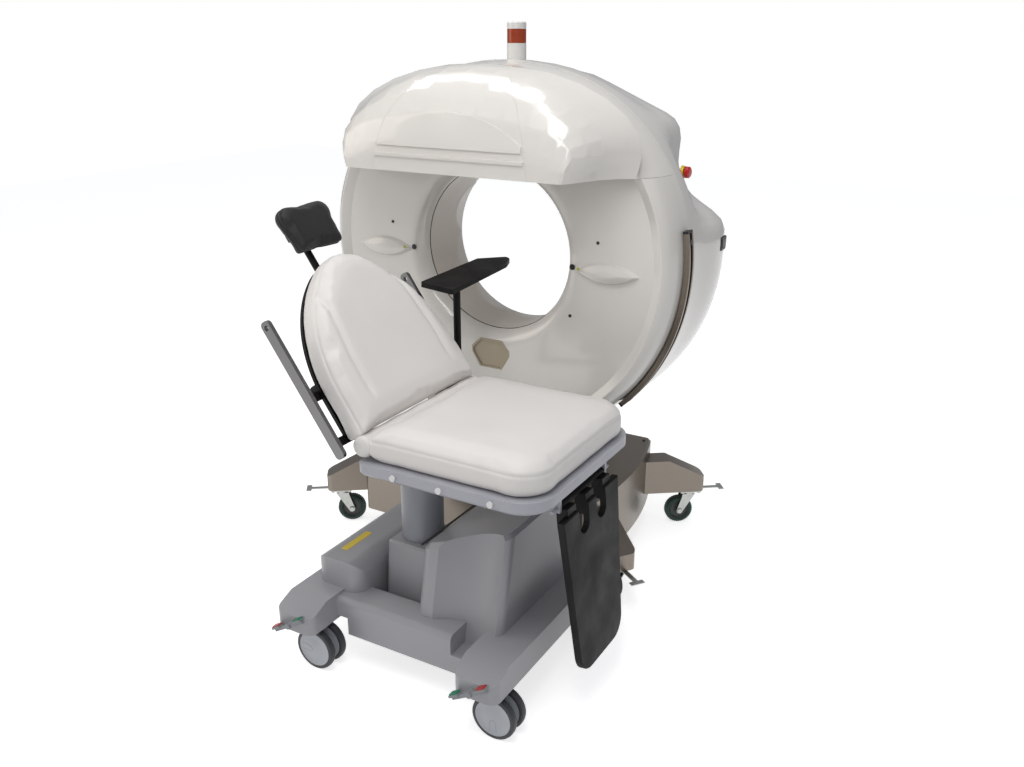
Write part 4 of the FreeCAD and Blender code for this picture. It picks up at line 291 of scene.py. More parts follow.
# %% Plastic and rubber finishes
chair_abs = coat("textured_blue_grey_abs", "#a2a2a6", 0.36, grain_mm=0.8, grain_deep_mm=0.03,
                 patch_mm=160, patch=0.02)
tray_abs = coat("satin_light_grey_abs", "#acadb4", 0.38, grain_mm=0.8, grain_deep_mm=0.02)
black_plastic = coat("satin_black_nylon", "#111113", 0.45, grain_mm=0.7)
board_black = coat("black_laminate_board", "#0b0b0c", 0.6, grain_mm=0.9, grain_deep_mm=0.03,
                   patch=0.01, Specular_IOR_Level=0.25)
stop_yellow = coat("yellow_polycarbonate", "#e8c412", 0.35)
stop_red = coat("red_polycarbonate", "#c4141a", 0.3, Coat_Weight=0.3)
lever_green = coat("green_nylon_grip", "#127a4b", 0.4)
tyre_green = coat("dark_green_polyurethane_tyre", "#14362a", 0.5, grain_mm=1.0,
                  grain_deep_mm=0.05, patch=0.12)
castor_grey = coat("pale_grey_nylon_hub", "#b9bcc2", 0.4, grain_mm=0.8)
castor_tyre = coat("grey_rubber_tyre", "#38393d", 0.55, grain_mm=0.9, grain_deep_mm=0.04)
cap_white = coat("white_nylon_cap", "#e6e6e6", 0.35)
pedal_red = coat("red_vinyl_pedal_pad", "#a8322e", 0.45, grain_mm=0.8)
pedal_green = coat("green_vinyl_pedal_pad", "#157a58", 0.45, grain_mm=0.8)
label_yellow = coat("plain_yellow_film", "#e3c63a", 0.4, grain_mm=2.0, grain_deep_mm=0.005)
print("materials so far:", len(bpy.data.materials))

# %% [markdown]
# ### Upholstery, seals and lamps
# The cushions are white vinyl, whose embossed leather grain is about a
# millimetre across. A photo of leather could be wrapped round them; here a
# cell pattern gives the same ridges, and follows any shape without a seam.

# %% Upholstery vinyl
EMBOSS_DEEP_MM = 0.08


def vinyl(name, colour, grain_mm=1.1, rough=0.42):
    """Upholstery vinyl: embossed cells with soft ridges, and a little sheen."""
    material = coat(name, colour, rough, grain_mm=grain_mm * 0.4, grain_deep_mm=0.02,
                    patch_mm=120, patch=0.015, Sheen_Weight=0.15, Sheen_Roughness=0.4)
    tree = material.node_tree
    shader = tree.nodes["Principled BSDF"]
    fine = shader.inputs["Normal"].links[0].from_node
    place = add(tree, "ShaderNodeTexCoord")
    cells = add(tree, "ShaderNodeTexVoronoi", {"Vector": place.outputs["Object"],
                                               "Scale": 1000 / grain_mm},
                feature="DISTANCE_TO_EDGE")
    ridge = add(tree, "ShaderNodeMapRange", {0: cells.outputs["Distance"], 1: 0.0, 2: 0.25,
                                             3: 0.0, 4: 1.0})
    emboss = add(tree, "ShaderNodeBump", {"Height": ridge.outputs[0], "Strength": 0.7,
                                          "Distance": EMBOSS_DEEP_MM / 1000,
                                          "Normal": fine.outputs[0]})
    tree.links.new(emboss.outputs[0], shader.inputs["Normal"])
    return material


hub_grey = coat("cast_hub_grey_enamel", "#3c4442", 0.45, grain_mm=1.4, grain_deep_mm=0.04)
# Grey rubber for the bore's gasket, and for the dark strip along the chair's right housing,
# which is painted shade standing in for the shadow in the gap there.
rubber_and_painted_shade = coat("grey_rubber_seal", "#4c4b49", 0.6, grain_mm=0.8)
lamp_green = coat("green_indicator_lens", "#a9b52e", 0.25, grain_mm=1.5)
thread_white = coat("white_polyester_thread", "#e4e2de", 0.5, grain_mm=0.3)

white_vinyl = vinyl("white_upholstery_vinyl", "#e6e2de")
black_vinyl = vinyl("black_upholstery_vinyl", "#0e0d0e", rough=0.6)

orange_lens = coat("orange_polycarbonate_lens", "#b8440a", 0.18, grain_mm=2.0,
                   grain_deep_mm=0.01, Transmission_Weight=0.35, Coat_Weight=0.5)
print("materials in all:", len(bpy.data.materials))

# %% [markdown]
# ## Helpers for meshes
# Small shapes are written as plain mesh data. One helper turns a profile
# round an axis, as a lathe does, and another sweeps a round bar along a
# path. Both close their ends, so that each shape is a solid of its own.

# %% Mesh helpers
GANTRY_Y = Vector((0, 1, 0))
SAME_POINT = 0.00002                    # metres; points nearer than this are one
SHARP_FROM = math.radians(35)           # an edge that turns by more stays crisp


def link(name, mesh):
    """Object with a mesh, in the scene."""
    item = bpy.data.objects.new(name, mesh)
    bpy.context.collection.objects.link(item)
    return item


def piece(name, points, faces, material, smooth=SHARP_FROM):
    """Closed mesh with outward faces, smooth but for its sharp edges."""
    mesh = bpy.data.meshes.new(name)
    mesh.from_pydata([tuple(p) for p in points], [], faces)
    tidy = bmesh.new()
    tidy.from_mesh(mesh)
    bmesh.ops.remove_doubles(tidy, verts=tidy.verts, dist=SAME_POINT)
    bmesh.ops.recalc_face_normals(tidy, faces=tidy.faces)
    tidy.to_mesh(mesh)
    tidy.free()
    mesh.materials.append(material)
    mesh.shade_smooth()
    mesh.set_sharp_from_angle(angle=smooth)
    return link(name, mesh)


def apply_modifiers(item):
    """Makes what the modifiers give the object's own mesh, and removes them."""
    graph = bpy.context.evaluated_depsgraph_get()
    item.data = bpy.data.meshes.new_from_object(item.evaluated_get(graph))
    item.modifiers.clear()


def across(axis):
    """An axis, and two directions square to it and to each other."""
    axis = Vector(axis).normalized()
    side = axis.orthogonal().normalized()
    return axis, side, axis.cross(side)


# %% Shapes from a profile or a path
def turned(profile, centre, axis, steps=48, closed=False):
    """Points and faces of a (way along, radius) profile spun about an axis."""
    axis, side, up = across(axis)
    points, faces = [], []
    for along, radius in profile:
        for i in range(steps):
            a = math.tau * i / steps
            points.append(Vector(centre) + axis * along
                          + (side * math.cos(a) + up * math.sin(a)) * radius)
    rows = len(profile)
    for r in range(rows if closed else rows - 1):
        for i in range(steps):
            j, low, high = (i + 1) % steps, r * steps, (r + 1) % rows * steps
            faces.append((low + i, low + j, high + j, high + i))
    for row in (0, rows - 1):
        if not closed and profile[row][1] > 0:
            faces.append(tuple(row * steps + i for i in range(steps)))
    return points, faces


def bar(path, radius, sides=10):
    """Points and faces of a round bar along a path."""
    path = [Vector(p) for p in path]
    points, faces = [], []
    side = None
    for k, at in enumerate(path):
        run = (path[min(k + 1, len(path) - 1)] - path[max(k - 1, 0)]).normalized()
        if side is None:
            side = run.orthogonal().normalized()
        side = (side - run * side.dot(run)).normalized()
        up = run.cross(side)
        for i in range(sides):
            a = math.tau * i / sides
            points.append(at + (side * math.cos(a) + up * math.sin(a)) * radius)
    for k in range(len(path) - 1):
        for i in range(sides):
            j, low, high = (i + 1) % sides, k * sides, (k + 1) * sides
            faces.append((low + i, low + j, high + j, high + i))
    faces.append(tuple(range(sides)))
    faces.append(tuple((len(path) - 1) * sides + i for i in range(sides)))
    return points, faces


def joined(*parts):
    """Several (points, faces) as one."""
    points, faces = [], []
    for more_points, more_faces in parts:
        start = len(points)
        points += more_points
        faces += [tuple(start + i for i in face) for face in more_faces]
    return points, faces


# %% [markdown]
# ## Cushions
# The seat, the back and the headrest are foam in a sewn vinyl skin. Such a
# skin is stretched by what it holds: faces swell, corners stay back, and
# the sides pull in between them. Cloth simulation gives just that. Each
# cushion starts as its model's solid, drawn in a little and remeshed into
# even squares; pressure blows it up; and a cap on how far any point may move
# keeps it in its own space. The creases come after it, because a remesh
# would swallow them. Each is worked on in axes of its own, with x out of the
# face that it rests on, so that one recipe does for all three.

# %% Cushion frames
CHAIR_Y = -0.760                        # middle of the chair
HINGE = Vector((0.118, CHAIR_Y, 0.668 + FLOOR))
RECLINE = math.radians(35)
BACK_AXES = Matrix(((math.cos(RECLINE), 0, -math.sin(RECLINE)),
                    (0, 1, 0),
                    (math.sin(RECLINE), 0, math.cos(RECLINE)))).to_4x4()
BACK_PLACE = Matrix.Translation(HINGE) @ BACK_AXES          # x out of the back, z up along it
SEAT_TURN = Matrix(((0, 0, 1), (0, 1, 0), (-1, 0, 0))).to_4x4()
SEAT_PLACE = Matrix.Translation((0, CHAIR_Y, 0)) @ SEAT_TURN.inverted()
print("hinge of the back at", [round(v, 3) for v in HINGE])


# %% From solid to even squares
REST_CLEAR = 0.001                      # metres between a cushion and what carries it


def own_axes(node, place, reshape):
    """A node's solid in the cushion's axes, with its lowest and highest corners."""
    solid = bmesh.new()
    solid.from_mesh(nodes[node].data)
    bmesh.ops.remove_doubles(solid, verts=solid.verts, dist=SAME_POINT)
    bmesh.ops.transform(solid, matrix=place.inverted(), verts=solid.verts)
    if reshape:
        for v in solid.verts:
            v.co = reshape(v.co)
    low = Vector([min(v.co[i] for v in solid.verts) for i in range(3)])
    high = Vector([max(v.co[i] for v in solid.verts) for i in range(3)])
    return solid, low, high


def even_squares(name, solid, low, high, draw_in, voxel):
    """Object like the solid, smaller by draw_in on every side, remeshed into squares."""
    middle, size = (low + high) / 2, high - low
    for v in solid.verts:
        for i in range(3):
            v.co[i] = middle[i] + (v.co[i] - middle[i]) * (1 - 2 * draw_in / size[i])
        v.co.x -= draw_in - REST_CLEAR
    mesh = bpy.data.meshes.new(name)
    solid.to_mesh(mesh)
    item = link(name, mesh)
    remesh = item.modifiers.new("even_squares", "REMESH")
    remesh.mode = "VOXEL"
    remesh.voxel_size = voxel
    apply_modifiers(item)
    return item


# %% Air and skin
CLOTH_STEPS, CLOTH_QUALITY, AIR_PRESSURE = 20, 4, 4
WRINKLE_PASSES = 9


def blow_up(item, cap):
    """Swells the skin with air; no point moves further than cap."""
    start = [v.co.copy() for v in item.data.vertices]
    cloth = item.modifiers.new("air", "CLOTH")
    cloth.settings.use_pressure = True
    cloth.settings.uniform_pressure_force = AIR_PRESSURE
    cloth.settings.quality = CLOTH_QUALITY
    cloth.settings.effector_weights.gravity = 0
    cloth.point_cache.frame_end = CLOTH_STEPS
    for step in range(1, CLOTH_STEPS + 1):
        bpy.context.scene.frame_set(step)
    blown = item.evaluated_get(bpy.context.evaluated_depsgraph_get()).to_mesh()
    moved = [v.co.copy() for v in blown.vertices]
    item.modifiers.clear()
    bpy.context.scene.frame_set(1)
    for v, was, now in zip(item.data.vertices, start, moved):
        step = now - was
        if step.length > cap:
            step *= cap / step.length
        v.co = was + step


def stuffed(name, node, place, draw_in, cap, proud, voxel, material, reshape=None):
    """Cushion grown inside a node's space, at most proud outside it."""
    solid, low, high = own_axes(node, place, reshape)
    case = BVHTree.FromBMesh(solid)
    item = even_squares(name, solid, low, high, draw_in, voxel)
    solid.free()
    blow_up(item, cap)
    for v in item.data.vertices:
        near, normal, _, _ = case.find_nearest(v.co)
        out = (v.co - near).dot(normal)
        if out > proud:
            v.co -= normal * (out - proud)
        v.co.x = max(v.co.x, low.x + REST_CLEAR / 2)
    ease = item.modifiers.new("eased_wrinkles", "SMOOTH")
    ease.factor, ease.iterations = 0.5, WRINKLE_PASSES
    fine = item.modifiers.new("finer", "SUBSURF")
    fine.levels = fine.render_levels = 1
    apply_modifiers(item)
    item.data.materials.clear()
    item.data.materials.append(material)
    item.data.shade_smooth()
    print(name, "faces:", len(item.data.polygons), "size:",
          [round(s, 3) for s in high - low])
    return item, low, high


# %% Drawing on a skin
SEAM_DEEP, SEAM_WIDE = 0.0026, 0.0034


def with_normals(item):
    """Each vertex with its normal as it is now, before any of them moves."""
    normals = [v.normal.copy() for v in item.data.vertices]
    return zip(item.data.vertices, normals)


def bell(distance, width):
    """1 at no distance, fading smoothly over about a width."""
    return math.exp(-(distance / width) ** 2)


def ramp(value, start, end):
    """0 before start, 1 after end, smooth between."""
    share = min(max((value - start) / (end - start), 0), 1)
    return share * share * (3 - 2 * share)


def seam(off, normal):
    """Depth of a seam's groove at a distance off it; none on the top and the foot."""
    return SEAM_DEEP * bell(off, SEAM_WIDE) * (1 - ramp(abs(normal.x), 0.85, 0.97))


# %% [markdown]
# ### Seat
# The seat's top panel meets a side panel in a plain seam just below the
# edge, and the foam is hollowed where a patient sits. The seam is a narrow
# groove; the hollow is a shallow dish that fades out before the front edge.

# %% Seat cushion
SEAT_HALF, SEAT_ROUND, SEAT_REAR = 0.280, 0.092, -0.155
SEAT_DISH = 0.010                       # depth of the hollow


def square_rear(co):
    """Fills out the seat's rear corners, where the back rolls down on it."""
    deep = SEAT_REAR - co.z
    if deep >= SEAT_ROUND:
        return co
    left = SEAT_ROUND - max(deep, 0)
    wide = SEAT_HALF - SEAT_ROUND + math.sqrt(SEAT_ROUND ** 2 - left ** 2)
    return Vector((co.x, max(min(co.y * SEAT_HALF / wide, SEAT_HALF), -SEAT_HALF), co.z))


seat_cushion, seat_low, _ = stuffed("seat_cushion_vinyl", "seat_cushion", SEAT_PLACE,
                                    draw_in=0.002, cap=0.014, proud=0.005, voxel=0.0066,
                                    material=white_vinyl, reshape=square_rear)
SEAT_SEAM = seat_low.x + 0.058
for v, normal in with_normals(seat_cushion):
    up, side, run = v.co
    v.co -= normal * seam(up - SEAT_SEAM, normal)
    if up > SEAT_SEAM:
        dish = bell(side, 0.17) * bell(run + 0.30, 0.14)
        v.co.x -= SEAT_DISH * dish * ramp(up, SEAT_SEAM + 0.01, SEAT_SEAM + 0.02)
seat_cushion.data.transform(SEAT_PLACE)
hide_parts("seat_cushion")
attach(seat_cushion, "seat")

# %% [markdown]
# ### Back
# The back has a raised bolster down each side: two soft creases run from the
# lumbar part to the shoulders. Its side panel is seamed on near the front,
# and its foot is rounded where it rolls over the seat. The creases could be
# sculpted by hand; a few lines of arithmetic on each point keep them even
# and alike on both sides.

# %% Back cushion
CREASE_SIDE = 0.178                     # from the middle, at the foot
CREASE_LEAN = 0.028                     # how far the crease leans inward
CREASE_DEEP, BACK_HOLLOW = 0.0075, 0.007


def longer_foot(co):
    """Rolls the back's foot a little further down on to the seat."""
    return Vector((co.x, co.y, co.z - 0.008 * (1 - ramp(co.z, 0.05, 0.12))))


back_cushion, back_low, _ = stuffed("back_cushion_vinyl", "back_cushion", BACK_PLACE,
                                    draw_in=0.003, cap=0.016, proud=0.004, voxel=0.0066,
                                    material=white_vinyl, reshape=longer_foot)
BACK_SEAM = back_low.x + 0.060
for v, normal in with_normals(back_cushion):
    out, side, up = v.co
    front = ramp(normal.x, 0.2, 0.6)
    v.co -= normal * seam(out - BACK_SEAM, normal)
    middle = CREASE_SIDE - CREASE_LEAN * ramp(up, 0.20, 0.46)
    length = ramp(up, 0.10, 0.16) * (1 - ramp(up, 0.40, 0.48))
    crease = bell(abs(side) - middle, 0.011) * length
    hollow = bell(side, 0.13) * bell(up - 0.25, 0.17)
    v.co.x -= front * (CREASE_DEEP * crease + BACK_HOLLOW * hollow)
back_cushion.data.transform(BACK_PLACE)
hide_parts("back_cushion")
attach(back_cushion, "back")

# %% [markdown]
# ### Roll between seat and back
# Where the back rolls down on the seat, a stuffed roll fills the corner. It
# crosses the back's hinge, but it is one fixed piece that follows neither the
# seat nor the back. It has one curved outline all round, so it is turned as on
# a lathe, with a faint swell along it as stuffing gives.

# %% Corner roll
ROLL_AT = Vector((0.1450, CHAIR_Y, 0.7115 + FLOOR))
ROLL_HALF, ROLL_ROUND, ROLL_NECK = 0.272, 0.0285, 0.0215
SWELL, SWELL_WAVES = 0.0008, 60         # metres, and radians per metre

end_cap = [(-ROLL_HALF, 0), (-ROLL_HALF - 0.001, 0.008), (-ROLL_HALF, 0.016),
           (-ROLL_HALF + 0.002, 0.021)]
end_cap += [(-ROLL_HALF + 0.014 * (1 - math.cos(math.radians(a))) + 0.002,
             ROLL_NECK + (ROLL_ROUND - ROLL_NECK) * math.sin(math.radians(a)))
            for a in (30, 60, 90)]
length = [-0.24 + 0.02 * i for i in range(25)]
profile = end_cap + [(way, ROLL_ROUND + SWELL * math.cos(way * SWELL_WAVES)) for way in length]
profile += [(-way, radius) for way, radius in reversed(end_cap)]
corner_roll = piece("corner_roll_vinyl", *turned(profile, ROLL_AT, (0, 1, 0), 48), white_vinyl,
                    math.radians(60))
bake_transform(corner_roll)
print("corner roll points:", len(corner_roll.data.vertices))

# %% [markdown]
# ### Headrest
# A small black pad on its own hinge: the same skin in black, with one seam
# round its side. It is far smaller than the seat, so its squares are finer.

# %% Headrest pad
PAD_SEAM_DEEP, PAD_SEAM_WIDE, PAD_SEAM_BACK = 0.0018, 0.003, 0.020
head_pad, _, pad_high = stuffed("headrest_pad_vinyl", "headrest_pad", BACK_PLACE,
                                draw_in=0.002, cap=0.006, proud=0.002, voxel=0.0045,
                                material=black_vinyl)
for v, normal in with_normals(head_pad):
    off = v.co.x - pad_high.x + PAD_SEAM_BACK
    v.co -= normal * PAD_SEAM_DEEP * bell(off, PAD_SEAM_WIDE)
head_pad.data.transform(BACK_PLACE)
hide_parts("headrest_pad")
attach(head_pad, "head_pad")

# %% [markdown]
# ## Paint the model's nodes
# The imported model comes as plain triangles. A small node tree merges the
# doubled corners and shades every edge smooth that turns by less than 30
# degrees, so that a curved cover mirrors the room in one sweep while real
# corners stay crisp. It is the same for every piece, so it is made once.

# %% Smooth shading tree
def smooth_tree():
    """Geometry tree that merges doubled points and smooths all but sharp turns."""
    tree = bpy.data.node_groups.new("smooth_by_angle_of_turn", "GeometryNodeTree")
    tree.is_modifier = True
    tree.interface.new_socket("Geometry", in_out="INPUT", socket_type="NodeSocketGeometry")
    turn = tree.interface.new_socket("Turn", in_out="INPUT", socket_type="NodeSocketFloat")
    turn.default_value = math.radians(30)
    tree.interface.new_socket("Geometry", in_out="OUTPUT", socket_type="NodeSocketGeometry")
    given = add(tree, "NodeGroupInput")
    whole = add(tree, "GeometryNodeMergeByDistance", {"Geometry": given.outputs[0],
                                                      "Distance": SAME_POINT})
    soft = add(tree, "GeometryNodeSetShadeSmooth", {"Geometry": whole.outputs[0],
                                                    "Shade Smooth": True}, domain="FACE")
    edge = add(tree, "GeometryNodeInputMeshEdgeAngle")
    sharp = add(tree, "FunctionNodeCompare", {0: edge.outputs["Unsigned Angle"],
                                              1: given.outputs[1]}, operation="GREATER_THAN")
    crisp = add(tree, "GeometryNodeSetShadeSmooth", {"Geometry": soft.outputs[0],
                                                     "Selection": sharp.outputs[0],
                                                     "Shade Smooth": False}, domain="EDGE")
    add(tree, "NodeGroupOutput", {"Geometry": crisp.outputs[0]})
    return tree


SMOOTH = smooth_tree()


def paint(material, *names):
    """Gives the named nodes one material and smooth shading."""
    for name in names:
        item = nodes[name]
        if not item.material_slots:
            item.data.materials.append(material)
        for place in item.material_slots:
            place.material = material
        shade = item.modifiers.new("smooth_by_angle", "NODES")
        shade.node_group = SMOOTH


# %% Paint
CORNERS = ("front_right", "rear_right", "rear_left", "front_left")


def each(stem):
    """Names of the four castors' nodes of one kind."""
    return [f"{stem}_{corner}" for corner in CORNERS]


paint(gelcoat, "ring_front_cover", "ring_rear_cover", "hood_centre", "hood_sides")
paint(liner_plastic, "bore_liner")
paint(dock_plastic, "docking_plate")
paint(rail_bronze, "curved_rails")
paint(black_plastic, "rail_end_caps", "base_socket", "sensor_windows")
paint(screw_steel, "cover_screws")
paint(base_steel, "base_housing", "outriggers")
paint(frame_iron, "ring_frame")
paint(rotor_alloy, "rotor_ring")
paint(tube_paint, "xray_tube")
paint(detector_paint, "detector_arc")
paint(lamp_plastic, "stack_light_housing")
paint(orange_lens, "stack_light_lens")
paint(stop_yellow, "estop_base")
paint(stop_red, "estop_button")
paint(zinc, "caster_plates", *each("gantry_fork"), *each("lock_pedal"))
paint(chair_abs, "chair_base_left", "chair_base_right", "column_cover")
paint(tray_abs, "seat_tray")
paint(column_paint, "column_tube")
paint(lever_green, "column_lever")
paint(cap_white, "tray_bolt_caps")
paint(board_black, "back_frame", "headrest_post", "arm_board_post", "arm_board", "leg_board")
paint(rail_steel, "back_side_rails")
paint(castor_grey, *each("chair_fork"))
paint(pedal_steel, "chair_pedal_left", "chair_pedal_right")
print("painted nodes:", sum(bool(item.modifiers) for item in nodes.values()))

# %% [markdown]
# ## Geometry Nodes for what repeats
# Three small node trees make everything on this machine that comes in rows:
# one stands bars round a ring, one lays beads along a path and one sets a
# hexagon or round head on each point. Each has named inputs for its sizes,
# and its result is turned into a plain mesh, so that it moves and exports as
# any other piece does.

# %% Node tree helpers
def new_tree(name, sizes):
    """Geometry tree with named inputs for its sizes and its finish, and its input node."""
    tree = bpy.data.node_groups.new(name, "GeometryNodeTree")
    tree.is_modifier = True
    tree.interface.new_socket("Geometry", in_out="INPUT", socket_type="NodeSocketGeometry")
    for label, kind in sizes:
        tree.interface.new_socket(label, in_out="INPUT", socket_type=f"NodeSocket{kind}")
    tree.interface.new_socket("Finish", in_out="INPUT", socket_type="NodeSocketMaterial")
    tree.interface.new_socket("Geometry", in_out="OUTPUT", socket_type="NodeSocketGeometry")
    return tree, add(tree, "NodeGroupInput")


def end_tree(tree, given, instances):
    """Turns instances into real faces, gives them the material and closes the tree."""
    real = add(tree, "GeometryNodeRealizeInstances", {"Geometry": instances})
    coated = add(tree, "GeometryNodeSetMaterial", {"Geometry": real.outputs[0],
                                                   "Material": given.outputs["Finish"]})
    add(tree, "NodeGroupOutput", {"Geometry": coated.outputs[0]})


def grown(name, tree, mesh, place=None, **inputs):
    """Runs a tree on a mesh and keeps the result as a plain mesh, moved to place."""
    item = link(name, mesh)
    grow = item.modifiers.new(tree.name, "NODES")
    grow.node_group = tree
    for socket in tree.interface.items_tree:
        label = socket.name.replace(" ", "_")
        if socket.in_out == "INPUT" and label in inputs:
            grow[socket.identifier] = inputs[label]
    apply_modifiers(item)
    if place is not None:
        item.data.transform(place)
    item.data.shade_smooth()
    item.data.set_sharp_from_angle(angle=SHARP_FROM)
    return item


def points_mesh(name, points, joined_up=False):
    """Mesh of bare points, or of a line through them."""
    mesh = bpy.data.meshes.new(name)
    edges = [(i, i + 1) for i in range(len(points) - 1)] if joined_up else []
    mesh.from_pydata([tuple(p) for p in points], edges, [])
    return mesh


def facing(centre, axis):
    """Matrix that stands a ring made round Z on a centre, with Z along axis."""
    axis, side, up = across(axis)
    return Matrix.Translation(centre) @ Matrix((side, up, axis)).transposed().to_4x4()


# %% Bars round a ring
RING_OF_BARS, given = new_tree("bars_round_a_ring", [
    ("Count", "Int"), ("Radius", "Float"), ("Height", "Float"), ("Width", "Float"),
    ("Length", "Float")])
spots = add(RING_OF_BARS, "GeometryNodeMeshCircle", {"Vertices": given.outputs["Count"],
                                                     "Radius": given.outputs["Radius"]})
shape = add(RING_OF_BARS, "ShaderNodeCombineXYZ", {0: given.outputs["Height"],
                                                   1: given.outputs["Width"],
                                                   2: given.outputs["Length"]})
one = add(RING_OF_BARS, "GeometryNodeMeshCube", {"Size": shape.outputs[0]})
outward = add(RING_OF_BARS, "FunctionNodeAlignRotationToVector", {
    "Vector": add(RING_OF_BARS, "GeometryNodeInputPosition").outputs[0]}, axis="X")
stood = add(RING_OF_BARS, "GeometryNodeInstanceOnPoints", {
    "Points": spots.outputs["Mesh"], "Instance": one.outputs["Mesh"],
    "Rotation": outward.outputs[0]})
end_tree(RING_OF_BARS, given, stood.outputs[0])

# %% Beads along a path
BEADS_ALONG, given = new_tree("beads_along_a_path", [
    ("Spacing", "Float"), ("Bead Radius", "Float"), ("Bead Length", "Float"), ("Sides", "Int")])
line = add(BEADS_ALONG, "GeometryNodeMeshToCurve", {"Mesh": given.outputs["Geometry"]})
steps = add(BEADS_ALONG, "GeometryNodeResampleCurve", {"Curve": line.outputs[0],
                                                       "Length": given.outputs["Spacing"]},
            mode="LENGTH")
one = add(BEADS_ALONG, "GeometryNodeMeshCylinder", {
    "Vertices": given.outputs["Sides"], "Radius": given.outputs["Bead Radius"],
    "Depth": given.outputs["Bead Length"]})
ahead = add(BEADS_ALONG, "FunctionNodeAlignRotationToVector", {
    "Vector": add(BEADS_ALONG, "GeometryNodeInputTangent").outputs[0]}, axis="Z")
laid = add(BEADS_ALONG, "GeometryNodeInstanceOnPoints", {
    "Points": steps.outputs[0], "Instance": one.outputs["Mesh"], "Rotation": ahead.outputs[0]})
end_tree(BEADS_ALONG, given, laid.outputs[0])

# %% Heads on points
HEADS_ON_POINTS, given = new_tree("heads_on_points", [
    ("Head Radius", "Float"), ("Head Height", "Float"), ("Sides", "Int"), ("Facing", "Vector")])
one = add(HEADS_ON_POINTS, "GeometryNodeMeshCylinder", {
    "Vertices": given.outputs["Sides"], "Radius": given.outputs["Head Radius"],
    "Depth": given.outputs["Head Height"]})
outward = add(HEADS_ON_POINTS, "FunctionNodeAlignRotationToVector", {
    "Vector": given.outputs["Facing"]}, axis="Z")
set_on = add(HEADS_ON_POINTS, "GeometryNodeInstanceOnPoints", {
    "Points": given.outputs["Geometry"], "Instance": one.outputs["Mesh"],
    "Rotation": outward.outputs[0]})
end_tree(HEADS_ON_POINTS, given, set_on.outputs[0])
print("node trees:", [tree.name for tree in bpy.data.node_groups])

# %% [markdown]
# ## Chair wheels
# Each castor of the chair has two wheels: a thin dark tyre on a pale grey
# hub, whose domed cap carries a raised loop. Tyre and hub are profiles turned
# on a lathe, and stand where the model's plain wheels are. Each profile is a
# list of points (way along the axle, radius), as on a drawing of half a wheel.

# %% Wheel profiles
TYRE = [(-.010, .0515), (-.010, .0585), (-.0085, .0612), (-.0045, .0625),
        (.0045, .0625), (.0085, .0612), (.010, .0585), (.010, .0515)]
HUB = [(.0113, 0), (.0113, .0064), (-.010, .0064), (-.010, .014), (-.0075, .018),
       (-.0085, .046), (-.010, .0512), (.010, .0512), (.0106, .0485), (.0092, .0455),
       (.0100, .030), (.0122, .018), (.0128, 0)]
CAP = [(0, .0128), (.018, .0122), (.030, .0100), (.0455, .0092)]


def cap_height(radius):
    """Height of the hub's domed cap at a radius."""
    for (r0, h0), (r1, h1) in zip(CAP, CAP[1:]):
        if radius <= r1:
            return h0 + (h1 - h0) * (radius - r0) / (r1 - r0)
    return CAP[-1][1]


# %% Raised loop on the cap
LOOP_FAR, LOOP_BEND, LOOP_HALF, LOOP_WIRE = .041, .014, .009, .0011
LOOP_TURN = {"front_left": 180, "front_right": 270, "rear_left": 200, "rear_right": 290}

leg = [LOOP_FAR - (LOOP_FAR - LOOP_BEND) * i / 6 for i in range(7)]
LOOP = [(r, LOOP_HALF) for r in leg]
LOOP += [(LOOP_BEND - LOOP_HALF * math.sin(math.radians(a)),
          LOOP_HALF * math.cos(math.radians(a))) for a in range(18, 180, 18)]
LOOP += [(r, -LOOP_HALF) for r in reversed(leg)]
print("points on a loop:", len(LOOP))

# %% Chair wheels
TWIN_OUT, WHEEL_STEPS = .023, 64       # metres from the axle's middle
for corner in CORNERS:
    low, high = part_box(f"chair_wheels_{corner}")
    axle = (low + high) / 2
    heading = math.radians(LOOP_TURN[corner])
    away = Vector((math.cos(heading), 0, math.sin(heading)))
    tyres, hubs = [], []
    for side in (-1, 1):
        centre, out = axle + GANTRY_Y * TWIN_OUT * side, GANTRY_Y * side
        beside = out.cross(away)
        tyres.append(turned(TYRE, centre, out, WHEEL_STEPS, closed=True))
        hubs.append(turned(HUB, centre, out, WHEEL_STEPS))
        hubs.append(bar([centre + away * r + beside * w + out * cap_height(math.hypot(r, w))
                         for r, w in LOOP], LOOP_WIRE, 8))
    tyre = piece(f"chair_tyres_{corner}", *joined(*tyres), castor_tyre)
    hub = piece(f"chair_hubs_{corner}", *joined(*hubs), castor_grey)
    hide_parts(f"chair_wheels_{corner}")
    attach(tyre, f"twin_{corner}")
    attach(hub, f"twin_{corner}")
print("chair wheels at", [round(v, 3) for v in axle])

# %% [markdown]
# ## Gantry wheels
# The scanner's own castors are heavier: a moulded dark green tyre with
# cross ribs on a cast hub, between two zinc-plated cheeks. The ribs stand at
# equal steps round the tread, so a node tree sets them there.

